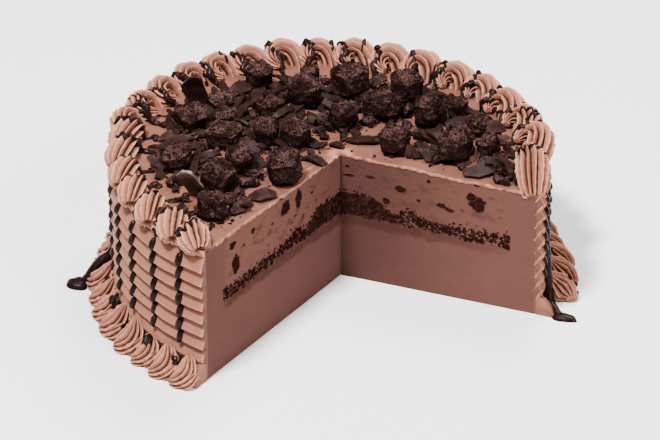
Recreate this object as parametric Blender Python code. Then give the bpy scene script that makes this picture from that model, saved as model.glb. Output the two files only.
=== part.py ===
"""Round chocolate ice cream cake with one wedge cut out, in metres, +Z up.

The cake stands on z = 0. Its shapes are worked out round the cake's own axis, and an empty then carries
them all so that the middle of the whole footprint is the origin. The missing wedge opens towards -Y.
"""

import math
import random

import bmesh
import bpy
from mathutils import Matrix, Vector, noise
from mathutils.bvhtree import BVHTree

# Driving dimensions of the cake
SIDE_RADIUS = 0.127
ICE_RADIUS = 0.1222
CORE_RADIUS = 0.106
HEIGHT = 0.0824
TOP_SLOPE = -0.026
GAP = 0.0003

# The missing wedge, by its tip and the directions of its two cut faces
TIP = Vector((0.0063, 0.0107))
FIRST_CUT = math.radians(-21.1)
LAST_CUT = math.radians(236.1)

# Layers inside
FUDGE_BOTTOM = 0.0344
FUDGE_TOP = 0.0408
CRUNCH_TOP_OUTSIDE = 0.0495
CRUNCH_TOP_AT_TIP = 0.0560
CRUNCH_UNEVEN = 0.0010
FLAT_RINGS = (0.0, 1.0)
UNEVEN_RINGS = (0.0, 0.3, 0.65, 1.0)

# Icing with combed ridges round the side, and runs of fudge down it
ICING_ON_TOP = 0.0018
ICING_FOOT = 0.0012
RIDGES = 8
LOWEST_LIP = 0.0135
RIDGE_PITCH = 0.0084
RIDGE_DEPTH = 0.0027
LIP_DROP = 0.0007
RUN_HALF_WIDTH = 0.0019
RUN_RAISED = 0.0013
RUN_LOW = 0.024
RUN_HIGH = 0.058

# Piped borders
TOP_UNITS = 25
LAST_PIPED = math.radians(238.3)
TOP_FLUTES = 5
TOP_WIDE = 1.3
FOOT_UNITS = 27
FOOT_FLUTES = 4
FOOT_WIDE = 1.42
FLUTE_DEPTH = 0.13
TOP_FULLEST = math.radians(35)
TOP_SWELLS = 0.06
FOOT_FULLEST = math.radians(45)
FOOT_SWELLS = 0.05

# Brownie pieces: place on the top, width across and height, all in millimetres
BROWNIES = (
    (-42, 87, 15, 15), (-12, 97, 11, 9), (-15, 67, 19, 18), (-64, 59, 15, 9), (-35, 54, 15, 11),
    (-37, 18, 16, 18), (-20, 17, 15, 16), (-61, 19, 19, 12), (12, 79, 20, 19), (45, 76, 18, 18),
    (30, 55, 22, 15), (8, 41, 16, 16), (58, 46, 17, 18), (74, 58, 13, 11), (88, 38, 14, 11),
    (72, 6, 19, 18), (92, 10, 14, 14), (37, 14, 18, 17), (-88, -10, 18, 11), (-63, -36, 19, 19),
    (-52, -13, 16, 16), (-26, -22, 21, 18), (-66, -64, 16, 15), (-81, 38, 17, 11), (-62, 40, 14, 10),
)

# Pieces of broken chocolate: place, length and width in millimetres, then the way each one
# points, how far it leans up off its side and how far it bows, in degrees and millimetres
SHARDS = (
    (-79, 53, 23, 14, 90, 78, 1), (-79, -46, 24, 13, 70, 62, 1), (-86, 15, 26, 8, 12, 10, 3),
    (-94, 23, 14, 5, 28, 20, 2), (-45, 72, 22, 7, 46, 14, 2), (-28, 86, 15, 8, 62, 24, 1),
    (13, 99, 13, 7, 4, 35, 0), (29, 90, 15, 6, 58, 20, 3), (46, 63, 10, 5, 70, 40, 2),
    (40, 36, 13, 7, 20, 15, 1), (88, -8, 24, 11, 12, 12, 1), (53, 12, 23, 7, 108, 10, 4),
    (99, -15, 22, 6, 112, 30, 2), (96, 30, 12, 8, 20, 35, 1), (-9, -1, 16, 8, 150, 12, 2),
    (19, 24, 20, 9, 176, 8, 1), (-50, -55, 16, 8, 48, 16, 2), (-38, -42, 16, 10, 12, 8, 2),
    (-88, -27, 11, 7, 30, 30, 1), (-48, 33, 9, 6, 100, 20, 1), (-7, 47, 17, 7, 22, 14, 2),
    (4, 18, 9, 6, 160, 12, 1),
)
SHARD_THICKNESS = 0.0013
SHARD_STATIONS = 4
MM = 0.001


def top_at(x):
    """Height of the icing's top, which falls a little towards +X."""
    return HEIGHT + TOP_SLOPE * x


def reach(direction, radius):
    """Distance from the wedge's tip to a circle round the cake's axis."""
    along = TIP.x * math.cos(direction) + TIP.y * math.sin(direction)
    return -along + math.sqrt(along**2 + radius**2 - TIP.length_squared)


def spoke(direction, radius, share=1.0):
    """A point part of the way from the tip to a circle round the axis."""
    length = share * reach(direction, radius)
    return Vector((TIP.x + length * math.cos(direction), TIP.y + length * math.sin(direction)))


def direction_of(angle, radius):
    """The direction from the tip to the point at this angle round the axis."""
    direction = math.atan2(
        radius * math.sin(angle) - TIP.y, radius * math.cos(angle) - TIP.x
    )
    return direction if direction > FIRST_CUT - 0.01 else direction + math.tau


def angle_of(direction, radius):
    """The angle round the axis at which a direction from the tip meets a circle."""
    point = spoke(direction, radius)
    angle = math.atan2(point.y, point.x)
    return angle if angle > -math.pi / 4 else angle + math.tau


def border_angles(count, last):
    """The middle of each piped unit, evenly from the first cut face to an angle round the axis."""
    first = angle_of(FIRST_CUT, SIDE_RADIUS)
    pitch = (last - first) / count
    return [first + pitch * (i + 0.5) for i in range(count)], pitch


def crunch_top(point):
    """Uneven upper face of the crunch, which heaps up towards the wedge's tip."""
    away = (point - TIP).length / CORE_RADIUS
    heaped = max(0.0, 1.0 - away / 0.8)
    height = CRUNCH_TOP_OUTSIDE + (CRUNCH_TOP_AT_TIP - CRUNCH_TOP_OUTSIDE) * heaped
    return height + CRUNCH_UNEVEN * noise.noise(Vector((point.x, point.y, 0.0)) * 70)


def material(name, colour, roughness):
    made = bpy.data.materials.new(name)
    made.use_nodes = True
    shader = made.node_tree.nodes["Principled BSDF"]
    shader.inputs["Base Color"].default_value = (*colour, 1.0)
    shader.inputs["Roughness"].default_value = roughness
    shader.inputs["Metallic"].default_value = 0.0
    return made


def object_from(name, mesh_data, finish):
    mesh = bpy.data.meshes.new(name)
    mesh_data.normal_update()
    mesh_data.to_mesh(mesh)
    mesh_data.free()
    made = bpy.data.objects.new(name, mesh)
    bpy.context.scene.collection.objects.link(made)
    if finish:
        mesh.materials.append(finish)
    return made


def halves(a, b, c, d):
    """A four-cornered patch as two triangles over its shorter diagonal, or one if corners meet."""
    if (a.co - c.co).length <= (b.co - d.co).length:
        pair = ((a, b, c), (a, c, d))
    else:
        pair = ((a, b, d), (b, c, d))
    return [corners for corners in pair if len(set(corners)) == 3]


def solid_of_sections(name, sections, finish):
    """Joins closed outlines of equal length into one solid, capped at both ends.

    Outlines may share points, as they do on the upright edge at the wedge's tip.
    """
    built = bmesh.new()
    found = {}

    def vertex(point):
        key = tuple(round(value, 7) for value in point)
        if key not in found:
            found[key] = built.verts.new(point)
        return found[key]

    rows = [[vertex(point) for point in section] for section in sections]
    size = len(rows[0])
    for before, after in zip(rows, rows[1:]):
        for i in range(size):
            j = (i + 1) % size
            for corners in halves(before[i], before[j], after[j], after[i]):
                if not built.faces.get(corners):
                    built.faces.new(corners)
    built.faces.new(reversed(rows[0]))
    built.faces.new(rows[-1])
    bmesh.ops.recalc_face_normals(built, faces=built.faces)
    return object_from(name, built, finish)


def side_columns():
    """Directions round the side, with how proud the icing is there: each run of fudge has three."""
    angles, pitch = border_angles(TOP_UNITS, LAST_PIPED)
    half = RUN_HALF_WIDTH / SIDE_RADIUS
    columns = [(FIRST_CUT, 0.0)]
    for angle in angles[:-1]:
        middle = angle + pitch / 2
        for offset, raised in ((-half, 0.0), (0.0, RUN_RAISED), (half, 0.0)):
            columns.append((direction_of(middle + offset, SIDE_RADIUS), raised))
    columns.append((LAST_CUT, 0.0))
    return columns


def layer_directions():
    """The side's columns apart from the runs' middles, so that every layer's facets match."""
    return [direction for direction, raised in side_columns() if not raised]


def base_ice_cream(finish):
    """The smooth ice cream: a thick floor and the outer wall in one."""
    inner = CORE_RADIUS + GAP
    sections = []
    for direction in layer_directions():
        out = spoke(direction, ICE_RADIUS)
        rim = spoke(direction, inner)
        lid = ICING_ON_TOP + GAP
        sections.append((
            (TIP.x, TIP.y, 0.0),
            (out.x, out.y, 0.0),
            (out.x, out.y, top_at(out.x) - lid),
            (rim.x, rim.y, top_at(rim.x) - lid),
            (rim.x, rim.y, FUDGE_BOTTOM),
            (TIP.x, TIP.y, FUDGE_BOTTOM),
        ))
    return solid_of_sections("base_ice_cream", sections, finish)


def inner_layer(name, lower, upper, finish):
    """A layer that fills the core between two faces: each a function for height and its rings."""
    sections = []
    for direction in layer_directions():
        under = [spoke(direction, CORE_RADIUS, share) for share in lower[1]]
        over = [spoke(direction, CORE_RADIUS, share) for share in reversed(upper[1])]
        outline = [(point.x, point.y, lower[0](point)) for point in under]
        outline += [(point.x, point.y, upper[0](point)) for point in over]
        sections.append(outline)
    return solid_of_sections(name, sections, finish)


def ridge_rows():
    """Heights of the comb's ridges up the side, each a recess just under its proud lip."""
    rows = []
    for i in range(RIDGES):
        lip = LOWEST_LIP + RIDGE_PITCH * i
        rows.append((lip - LIP_DROP, -RIDGE_DEPTH))
        rows.append((lip, 0.0))
    return rows


def icing_coat(finish):
    """The icing's combed side and thin top, with runs of fudge standing proud of the side."""
    inner = ICE_RADIUS + GAP
    sections = []
    for direction, raised in side_columns():
        foot = spoke(direction, SIDE_RADIUS - RIDGE_DEPTH)
        inside = spoke(direction, inner)
        points = [(inside.x, inside.y, ICING_FOOT), (foot.x, foot.y, ICING_FOOT)]
        for height, depth in ridge_rows():
            if raised and RUN_LOW < height < RUN_HIGH:
                depth = raised + 0.5 * depth
            side = spoke(direction, SIDE_RADIUS + depth)
            points.append((side.x, side.y, height))
        points.append((foot.x, foot.y, top_at(foot.x)))
        points.append((TIP.x, TIP.y, top_at(TIP.x)))
        points.append((TIP.x, TIP.y, top_at(TIP.x) - ICING_ON_TOP))
        points.append((inside.x, inside.y, top_at(inside.x) - ICING_ON_TOP))
        sections.append(points)
    return solid_of_sections("icing_coat", sections, finish)


def envelope(name, offset, low):
    """A plain copy of the whole iced cake, grown a little, that the borders are cut back to."""
    sections = []
    for direction in layer_directions():
        out = spoke(direction, SIDE_RADIUS + offset)
        top = top_at(out.x) + offset
        sections.append((
            (TIP.x, TIP.y, low),
            (out.x, out.y, low),
            (out.x, out.y, top),
            (TIP.x, TIP.y, top_at(TIP.x) + offset),
        ))
    return solid_of_sections(name, sections, None)


def wedge_cutter():
    """The missing wedge as a solid, for what is cut off with it a hair behind the cut faces."""
    far = 3 * SIDE_RADIUS
    steps = 4
    opening = math.tau - (LAST_CUT - FIRST_CUT)
    middle = LAST_CUT + opening / 2
    tip = TIP - 2 * GAP * Vector((math.cos(middle), math.sin(middle)))
    outline = [tip]
    for i in range(steps + 1):
        turn = LAST_CUT + opening * i / steps
        outline.append(tip + far * Vector((math.cos(turn), math.sin(turn))))
    sections = [[(p.x, p.y, z) for p in outline] for z in (-HEIGHT, 2 * HEIGHT)]
    return solid_of_sections("wedge_cutter", sections, None)


def floor_cutter():
    built = bmesh.new()
    bmesh.ops.create_cube(built, size=1.0)
    bmesh.ops.scale(built, vec=(1.0, 1.0, 0.1), verts=built.verts)
    bmesh.ops.translate(built, vec=(0.0, 0.0, -0.05), verts=built.verts)
    return object_from("floor_cutter", built, None)


def fluted_rope(name, stations, flutes, wide, finish):
    """A piped rope of icing through stations of (point, radius), with a star-shaped section."""
    sections = []
    sides = 2 * flutes
    across = Vector((0.0, 1.0, 0.0))
    for i, (point, radius) in enumerate(stations):
        before = stations[max(i - 1, 0)][0]
        after = stations[min(i + 1, len(stations) - 1)][0]
        along = (after - before).normalized()
        side = (across - across.dot(along) * along).normalized()
        across = side
        up = along.cross(side)
        ring = []
        for k in range(sides):
            turn = math.tau * k / sides
            size = radius * (1 + (-FLUTE_DEPTH if k % 2 else FLUTE_DEPTH))
            ring.append(point + size * (wide * side * math.cos(turn) + up * math.sin(turn)))
        sections.append(ring)
    return solid_of_sections(name, sections, finish)


def placed_round(made, angle, radius, height, turn=0.0, size=1.0):
    """Moves a piece modelled with +X outwards to its place round the cake."""
    made.matrix_world = (
        Matrix.Rotation(angle, 4, "Z")
        @ Matrix.Translation((radius, 0.0, height))
        @ Matrix.Rotation(turn, 4, "Z")
        @ Matrix.Diagonal((size, size, size, 1.0))
    )
    made.data.transform(made.matrix_world)
    made.matrix_world = Matrix.Identity(4)


def swirl_stations():
    """A rope that climbs the side, sweeps over the rim in a C and curls in at its end."""
    return [
        (Vector((-0.0005, -0.0005, -0.0120)), 0.0036),
        (Vector((-0.0038, 0.0020, -0.0054)), 0.0076),
        (Vector((-0.0075, 0.0030, 0.0028)), 0.0096),
        (Vector((-0.0130, 0.0015, 0.0044)), 0.0088),
        (Vector((-0.0172, -0.0035, 0.0025)), 0.0062),
        (Vector((-0.0158, -0.0080, 0.0012)), 0.0038),
    ]


def shell_stations():
    """A shell piped against the foot of the side: narrow above, fanned out and low outside."""
    return [
        (Vector((0.0005, 0.0010, 0.0160)), 0.0032),
        (Vector((0.0045, 0.0005, 0.0100)), 0.0078),
        (Vector((0.0095, -0.0003, 0.0055)), 0.0092),
        (Vector((0.0150, -0.0010, 0.0025)), 0.0058),
    ]


def sauce_blob(name, x, y, length, width, height, turn, finish):
    """A drop of fudge lying on the floor beside the border."""
    built = bmesh.new()
    bmesh.ops.create_icosphere(built, subdivisions=2, radius=1.0)
    bmesh.ops.scale(built, vec=(length / 2, width / 2, height), verts=built.verts)
    bmesh.ops.rotate(built, matrix=Matrix.Rotation(turn, 3, "Z"), verts=built.verts)
    bmesh.ops.translate(built, vec=(x, y, 0.0), verts=built.verts)
    return object_from(name, built, finish)


def apply_boolean(target, operation, other=None, group=None):
    change = target.modifiers.new(operation.lower(), "BOOLEAN")
    change.operation = operation
    change.solver = "MANIFOLD"
    if group:
        change.operand_type = "COLLECTION"
        change.collection = group
    else:
        change.object = other
    graph = bpy.context.evaluated_depsgraph_get()
    result = bpy.data.meshes.new_from_object(target.evaluated_get(graph))
    target.modifiers.clear()
    old = target.data
    target.data = result
    bpy.data.meshes.remove(old)


def fused(name, pieces, cutters, finish):
    """One solid from overlapping pieces, cut back to what carries it."""
    group = bpy.data.collections.new(name + "_pieces")
    bpy.context.scene.collection.children.link(group)
    target = pieces[0]
    for piece in pieces[1:]:
        bpy.context.scene.collection.objects.unlink(piece)
        group.objects.link(piece)
    apply_boolean(target, "UNION", group=group)
    for cutter in cutters:
        apply_boolean(target, "DIFFERENCE", other=cutter)
    for piece in pieces[1:]:
        bpy.data.objects.remove(piece)
    bpy.data.collections.remove(group)
    target.name = name
    target.data.name = name
    target.data.materials.clear()
    target.data.materials.append(finish)
    return target


def swelling(angle, fullest, swells):
    """How much larger or smaller the piping grew on the way round."""
    return 1 + swells * math.cos(angle - fullest)


def top_border(finish, cutters):
    chance = random.Random(11)
    angles, _ = border_angles(TOP_UNITS, LAST_PIPED)
    pieces = []
    for i, angle in enumerate(angles):
        piece = fluted_rope(f"swirl_{i}", swirl_stations(), TOP_FLUTES, TOP_WIDE, finish)
        size = chance.uniform(0.96, 1.05) * swelling(angle, TOP_FULLEST, TOP_SWELLS)
        turn = math.radians(chance.uniform(-8, 8))
        rim = top_at(SIDE_RADIUS * math.cos(angle))
        placed_round(piece, angle, SIDE_RADIUS, rim, turn, size)
        pieces.append(piece)
    return fused("top_border", pieces, cutters, finish)


def bottom_border(finish, cutters):
    chance = random.Random(5)
    angles, _ = border_angles(FOOT_UNITS, angle_of(LAST_CUT, SIDE_RADIUS))
    pieces = []
    for i, angle in enumerate(angles):
        piece = fluted_rope(f"shell_{i}", shell_stations(), FOOT_FLUTES, FOOT_WIDE, finish)
        size = chance.uniform(0.94, 1.06) * swelling(angle, FOOT_FULLEST, FOOT_SWELLS)
        turn = math.radians(chance.uniform(-12, 12))
        placed_round(piece, angle, SIDE_RADIUS, 0.0, turn, size)
        pieces.append(piece)
    pieces.append(sauce_blob("blob_left", -0.1450, 0.003, 0.024, 0.012, 0.005, 0.1, finish))
    pieces.append(sauce_blob("blob_right", 0.134, -0.0365, 0.020, 0.010, 0.004, -0.3, finish))
    return fused("bottom_border", pieces, cutters, finish)


def brownie(name, place, chance, finish):
    """A baked brownie piece: an uneven block with its corners knocked off."""
    x, y, width, height = (value * MM for value in place)
    built = bmesh.new()
    bmesh.ops.create_cube(built, size=1.0)
    bmesh.ops.bevel(
        built, geom=built.edges[:], offset=chance.uniform(0.16, 0.26), segments=1, affect="EDGES"
    )
    for vert in built.verts:
        vert.co *= chance.uniform(0.90, 1.06)
    deep = chance.uniform(0.86, 1.04)
    bmesh.ops.scale(built, vec=(width, width * deep, height), verts=built.verts)
    tilt = Matrix.Rotation(math.radians(chance.uniform(-14, 14)), 3, "X")
    turn = Matrix.Rotation(math.radians(chance.uniform(0, 90)), 3, "Z")
    bmesh.ops.rotate(built, matrix=turn @ tilt, verts=built.verts)
    bmesh.ops.translate(built, vec=(x, y, 0.0), verts=built.verts)
    return object_from(name, built, finish)


def shard(name, place, finish):
    """A thin bowed piece of chocolate with a broken, narrowing outline."""
    x, y, length, width = (value * MM for value in place[:4])
    heading, lean, bow = place[4:]
    upper = []
    for i in range(SHARD_STATIONS):
        along = 2 * i / (SHARD_STATIONS - 1) - 1
        half = width / 2 * (1 - 0.55 * abs(along) ** 3)
        rise = bow * MM * (1 - along**2)
        shift = 0.12 * width * math.sin(3 * along + x / MM)
        upper.append((along * length / 2, half, rise, shift))
    sections = []
    for along, half, rise, shift in upper:
        sections.append((
            (along, shift - half, rise),
            (along, shift + half, rise),
            (along, shift + half, rise + SHARD_THICKNESS),
            (along, shift - half, rise + SHARD_THICKNESS),
        ))
    made = solid_of_sections(name, sections, finish)
    made.data.transform(
        Matrix.Translation((x, y, 0.0))
        @ Matrix.Rotation(math.radians(heading), 4, "Z")
        @ Matrix.Rotation(math.radians(lean), 4, "X" if lean < 60 else "Y")
    )
    return made


def tree_of(made, grow=1.0):
    """A tree of the piece's triangles, grown about its middle, to test for contact."""
    points = [vertex.co.copy() for vertex in made.data.vertices]
    middle = sum(points, Vector()) / len(points)
    points = [middle + (point - middle) * grow for point in points]
    made.data.calc_loop_triangles()
    faces = [tuple(triangle.vertices) for triangle in made.data.loop_triangles]
    return BVHTree.FromPolygons(points, faces)


def settle(made, lying, step=0.0004):
    """Rests a topping on the icing, or as low on its neighbours as it goes without touching."""
    lift = max(top_at(v.co.x) + GAP - v.co.z for v in made.data.vertices)
    made.data.transform(Matrix.Translation((0.0, 0.0, lift)))
    while any(tree_of(made, 1.04).overlap(other) for other in lying):
        made.data.transform(Matrix.Translation((0.0, 0.0, step)))
    lying.append(tree_of(made))


def toppings(border, brown, dark):
    """The brownie pieces first, then the chocolate that lies between and on them."""
    chance = random.Random(3)
    lying = [tree_of(border)]
    made = []
    for i, place in enumerate(BROWNIES, 1):
        piece = brownie(f"brownie_{i:02d}", place, chance, brown)
        settle(piece, lying)
        made.append(piece)
    for i, place in enumerate(SHARDS, 1):
        piece = shard(f"chocolate_shard_{i:02d}", place, dark)
        settle(piece, lying)
        made.append(piece)
    return made


def carry_to_origin(made):
    """An empty carries the pieces so that the middle of their footprint is the origin."""
    points = [vertex.co for piece in made for vertex in piece.data.vertices]
    low_x = min(point.x for point in points)
    high_x = max(point.x for point in points)
    low_y = min(point.y for point in points)
    high_y = max(point.y for point in points)
    carrier = bpy.data.objects.new("cake", None)
    bpy.context.scene.collection.objects.link(carrier)
    carrier.location = (-(low_x + high_x) / 2, -(low_y + high_y) / 2, 0.0)
    for piece in made:
        piece.parent = carrier


def main():
    for old in list(bpy.data.objects):
        bpy.data.objects.remove(old)
    smooth_ice = material("smooth_ice_cream", (0.27, 0.115, 0.085), 0.5)
    upper_ice = material("brownie_ice_cream", (0.33, 0.150, 0.110), 0.5)
    icing = material("chocolate_icing", (0.52, 0.28, 0.20), 0.5)
    fudge = material("fudge", (0.10, 0.030, 0.022), 0.3)
    crunch = material("cookie_crunch", (0.035, 0.014, 0.012), 0.8)
    brown = material("brownie", (0.030, 0.014, 0.012), 0.7)
    dark = material("dark_chocolate", (0.045, 0.022, 0.020), 0.35)

    made = [base_ice_cream(smooth_ice)]
    fudge_bed = (lambda p: FUDGE_BOTTOM + GAP, FLAT_RINGS)
    fudge_face = (lambda p: FUDGE_TOP, FLAT_RINGS)
    crunch_bed = (lambda p: FUDGE_TOP + GAP, FLAT_RINGS)
    crunch_face = (crunch_top, UNEVEN_RINGS)
    upper_bed = (lambda p: crunch_top(p) + GAP, UNEVEN_RINGS)
    upper_face = (lambda p: top_at(p.x) - ICING_ON_TOP - GAP, FLAT_RINGS)
    made.append(inner_layer("fudge_layer", fudge_bed, fudge_face, fudge))
    made.append(inner_layer("crunch_layer", crunch_bed, crunch_face, crunch))
    made.append(inner_layer("upper_ice_cream", upper_bed, upper_face, upper_ice))
    made.append(icing_coat(icing))

    cake = envelope("cake_cutter", GAP, -HEIGHT)
    floor = floor_cutter()
    wedge = wedge_cutter()
    border = top_border(icing, [cake, wedge])
    made.append(border)
    made.append(bottom_border(icing, [cake, floor, wedge]))
    for cutter in (cake, floor, wedge):
        bpy.data.objects.remove(cutter)
    made += toppings(border, brown, dark)
    carry_to_origin(made)


main()
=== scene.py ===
"""Looks of a round chocolate ice cream cake with a wedge cut out. Metres, +Z up, wedge towards -Y."""

from collections import namedtuple
from math import atan2, cos, pi, radians, sin, sqrt, tau
from random import Random

import bmesh
import bpy
from mathutils import Matrix, Vector
from mathutils.bvhtree import BVHTree
from mathutils.noise import noise


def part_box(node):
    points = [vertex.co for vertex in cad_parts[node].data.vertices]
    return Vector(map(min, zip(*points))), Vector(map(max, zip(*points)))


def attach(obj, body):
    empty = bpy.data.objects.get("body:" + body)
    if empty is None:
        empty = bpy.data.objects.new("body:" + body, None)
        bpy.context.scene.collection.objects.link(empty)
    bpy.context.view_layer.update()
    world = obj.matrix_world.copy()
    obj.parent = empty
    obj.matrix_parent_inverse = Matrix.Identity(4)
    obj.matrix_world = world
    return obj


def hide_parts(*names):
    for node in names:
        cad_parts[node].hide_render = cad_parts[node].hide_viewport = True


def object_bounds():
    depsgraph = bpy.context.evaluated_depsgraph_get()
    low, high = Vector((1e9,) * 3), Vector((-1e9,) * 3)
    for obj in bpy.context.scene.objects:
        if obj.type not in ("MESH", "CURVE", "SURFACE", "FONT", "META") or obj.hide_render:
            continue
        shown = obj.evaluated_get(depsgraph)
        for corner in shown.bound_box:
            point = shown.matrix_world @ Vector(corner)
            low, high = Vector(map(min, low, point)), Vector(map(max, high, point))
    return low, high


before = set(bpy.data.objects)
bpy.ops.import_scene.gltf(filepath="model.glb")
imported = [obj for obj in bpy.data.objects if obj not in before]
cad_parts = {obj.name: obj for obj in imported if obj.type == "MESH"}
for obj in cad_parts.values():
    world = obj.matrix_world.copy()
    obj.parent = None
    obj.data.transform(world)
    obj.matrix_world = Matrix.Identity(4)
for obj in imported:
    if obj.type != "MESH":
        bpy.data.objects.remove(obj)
CAD_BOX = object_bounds()

MM = 0.001
UP = Vector((0.0, 0.0, 1.0))

# Sizes shared with the solids, round the cake's own axis
SIDE_RADIUS = 0.127
ICE_RADIUS = 0.1222
CORE_RADIUS = 0.106
HEIGHT = 0.0824
TOP_SLOPE = -0.026
TIP = Vector((0.0063, 0.0107, 0.0))
FIRST_CUT = radians(-21.1)
LAST_CUT = radians(236.1)
FUDGE_BOTTOM = 0.0344
FUDGE_TOP = 0.0408
ICING_ON_TOP = 0.0018
ICING_FOOT = 0.0012
RIDGES = 8
LOWEST_LIP = 0.0135
RIDGE_PITCH = 0.0084
TOP_UNITS = 25
LAST_PIPED = radians(238.3)
TOP_FULLEST = radians(35)
TOP_SWELLS = 0.06
FOOT_FULLEST = radians(45)
FOOT_SWELLS = 0.05
BROWNIES = 25
SHARDS = 22

# Sizes and places that follow the photograph more closely than the solids do
CRUNCH_TOP_OUTSIDE = 0.0488
CRUNCH_TOP_AT_TIP = 0.0580
HEAP_STARTS = 0.20
HEAP_ENDS = 0.31
HUMP_AT = 0.41
HUMP_WIDE = 0.07
HUMP_HIGH = 0.0046
CRUNCH_SINKS = 0.0018
LEFT_LIFT = 0.0024
LIFT_STARTS = 0.004
LIFT_ENDS = -0.020
RIDGE_DEPTH = 0.0033
FOOT_UNITS = 34
FIRST_SHELL = radians(-10.5)


def cake_axis():
    """Where the solids' carrier put the cake's axis: the fudge layer has one inner point, the tip."""
    points = [vertex.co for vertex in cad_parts["fudge_layer"].data.vertices]
    middle = sum(points, Vector()) / len(points)
    tip = min(points, key=lambda point: (point - middle).length)
    return Vector((tip.x - TIP.x, tip.y - TIP.y, 0.0))


AXIS = cake_axis()


def clamped(value):
    return min(1.0, max(0.0, value))


def top_at(x):
    return HEIGHT + TOP_SLOPE * x


def around(radius, angle, height=0.0):
    return Vector((radius * cos(angle), radius * sin(angle), height))


def reach(direction, radius):
    """How far a circle round the axis is from the wedge's tip."""
    along = TIP.x * cos(direction) + TIP.y * sin(direction)
    return -along + sqrt(along**2 + radius**2 - TIP.length_squared)


def spoke(direction, radius, share=1.0):
    """A point part of the way from the wedge's tip to a circle round the axis."""
    length = share * reach(direction, radius)
    return Vector((TIP.x + length * cos(direction), TIP.y + length * sin(direction), 0.0))


def angle_of(direction, radius):
    """The angle round the axis at which a direction from the tip meets a circle."""
    point = spoke(direction, radius)
    angle = atan2(point.y, point.x)
    return angle if angle > -pi / 4 else angle + tau


def border_angles(count, first, last):
    """The middle angles of this many places side by side, and how far apart they are."""
    pitch = (last - first) / count
    return [first + pitch * (i + 0.5) for i in range(count)], pitch


TOP_ANGLES, TOP_PITCH = border_angles(TOP_UNITS, angle_of(FIRST_CUT, SIDE_RADIUS), LAST_PIPED)
FOOT_ANGLES = border_angles(FOOT_UNITS, FIRST_SHELL, angle_of(LAST_CUT, SIDE_RADIUS))[0]


def crunch_top(share):
    """Height of the crunch's upper face, heaped at the tip and once more a little further out."""
    heaped = clamped((HEAP_ENDS - share) / (HEAP_ENDS - HEAP_STARTS))
    hump = max(0.0, 1 - ((share - HUMP_AT) / HUMP_WIDE) ** 2)
    return CRUNCH_TOP_OUTSIDE + (CRUNCH_TOP_AT_TIP - CRUNCH_TOP_OUTSIDE) * heaped + HUMP_HIGH * hump


def crunch_bottom(share):
    """Height of the crunch's lower face, which sinks a little towards the outside."""
    return FUDGE_TOP + CRUNCH_SINKS - CRUNCH_SINKS * clamped((share - 0.55) / 0.25)


def lift(x):
    """How much higher the layers lie at the left cut than at the right one."""
    share = clamped((x - LIFT_STARTS) / (LIFT_ENDS - LIFT_STARTS))
    return LEFT_LIFT * share * share * (3 - 2 * share)


def ripple(x, y, z, size, seed=0.0):
    """Smooth noise from -1 to 1 for features of about this size in metres."""
    return noise(Vector((x / size + seed, y / size - seed, z / size + 2 * seed)))


Cut = namedtuple("Cut", "direction along normal")


def cut_at(direction, side):
    """A cut face: its direction outwards from the tip, as an angle and a vector, and its normal."""
    along = Vector((cos(direction), sin(direction), 0.0))
    return Cut(direction, along, side * Vector((along.y, -along.x, 0.0)))


RIGHT_CUT = cut_at(FIRST_CUT, 1)
LEFT_CUT = cut_at(LAST_CUT, -1)
CUTS = (RIGHT_CUT, LEFT_CUT)


# Materials


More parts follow.
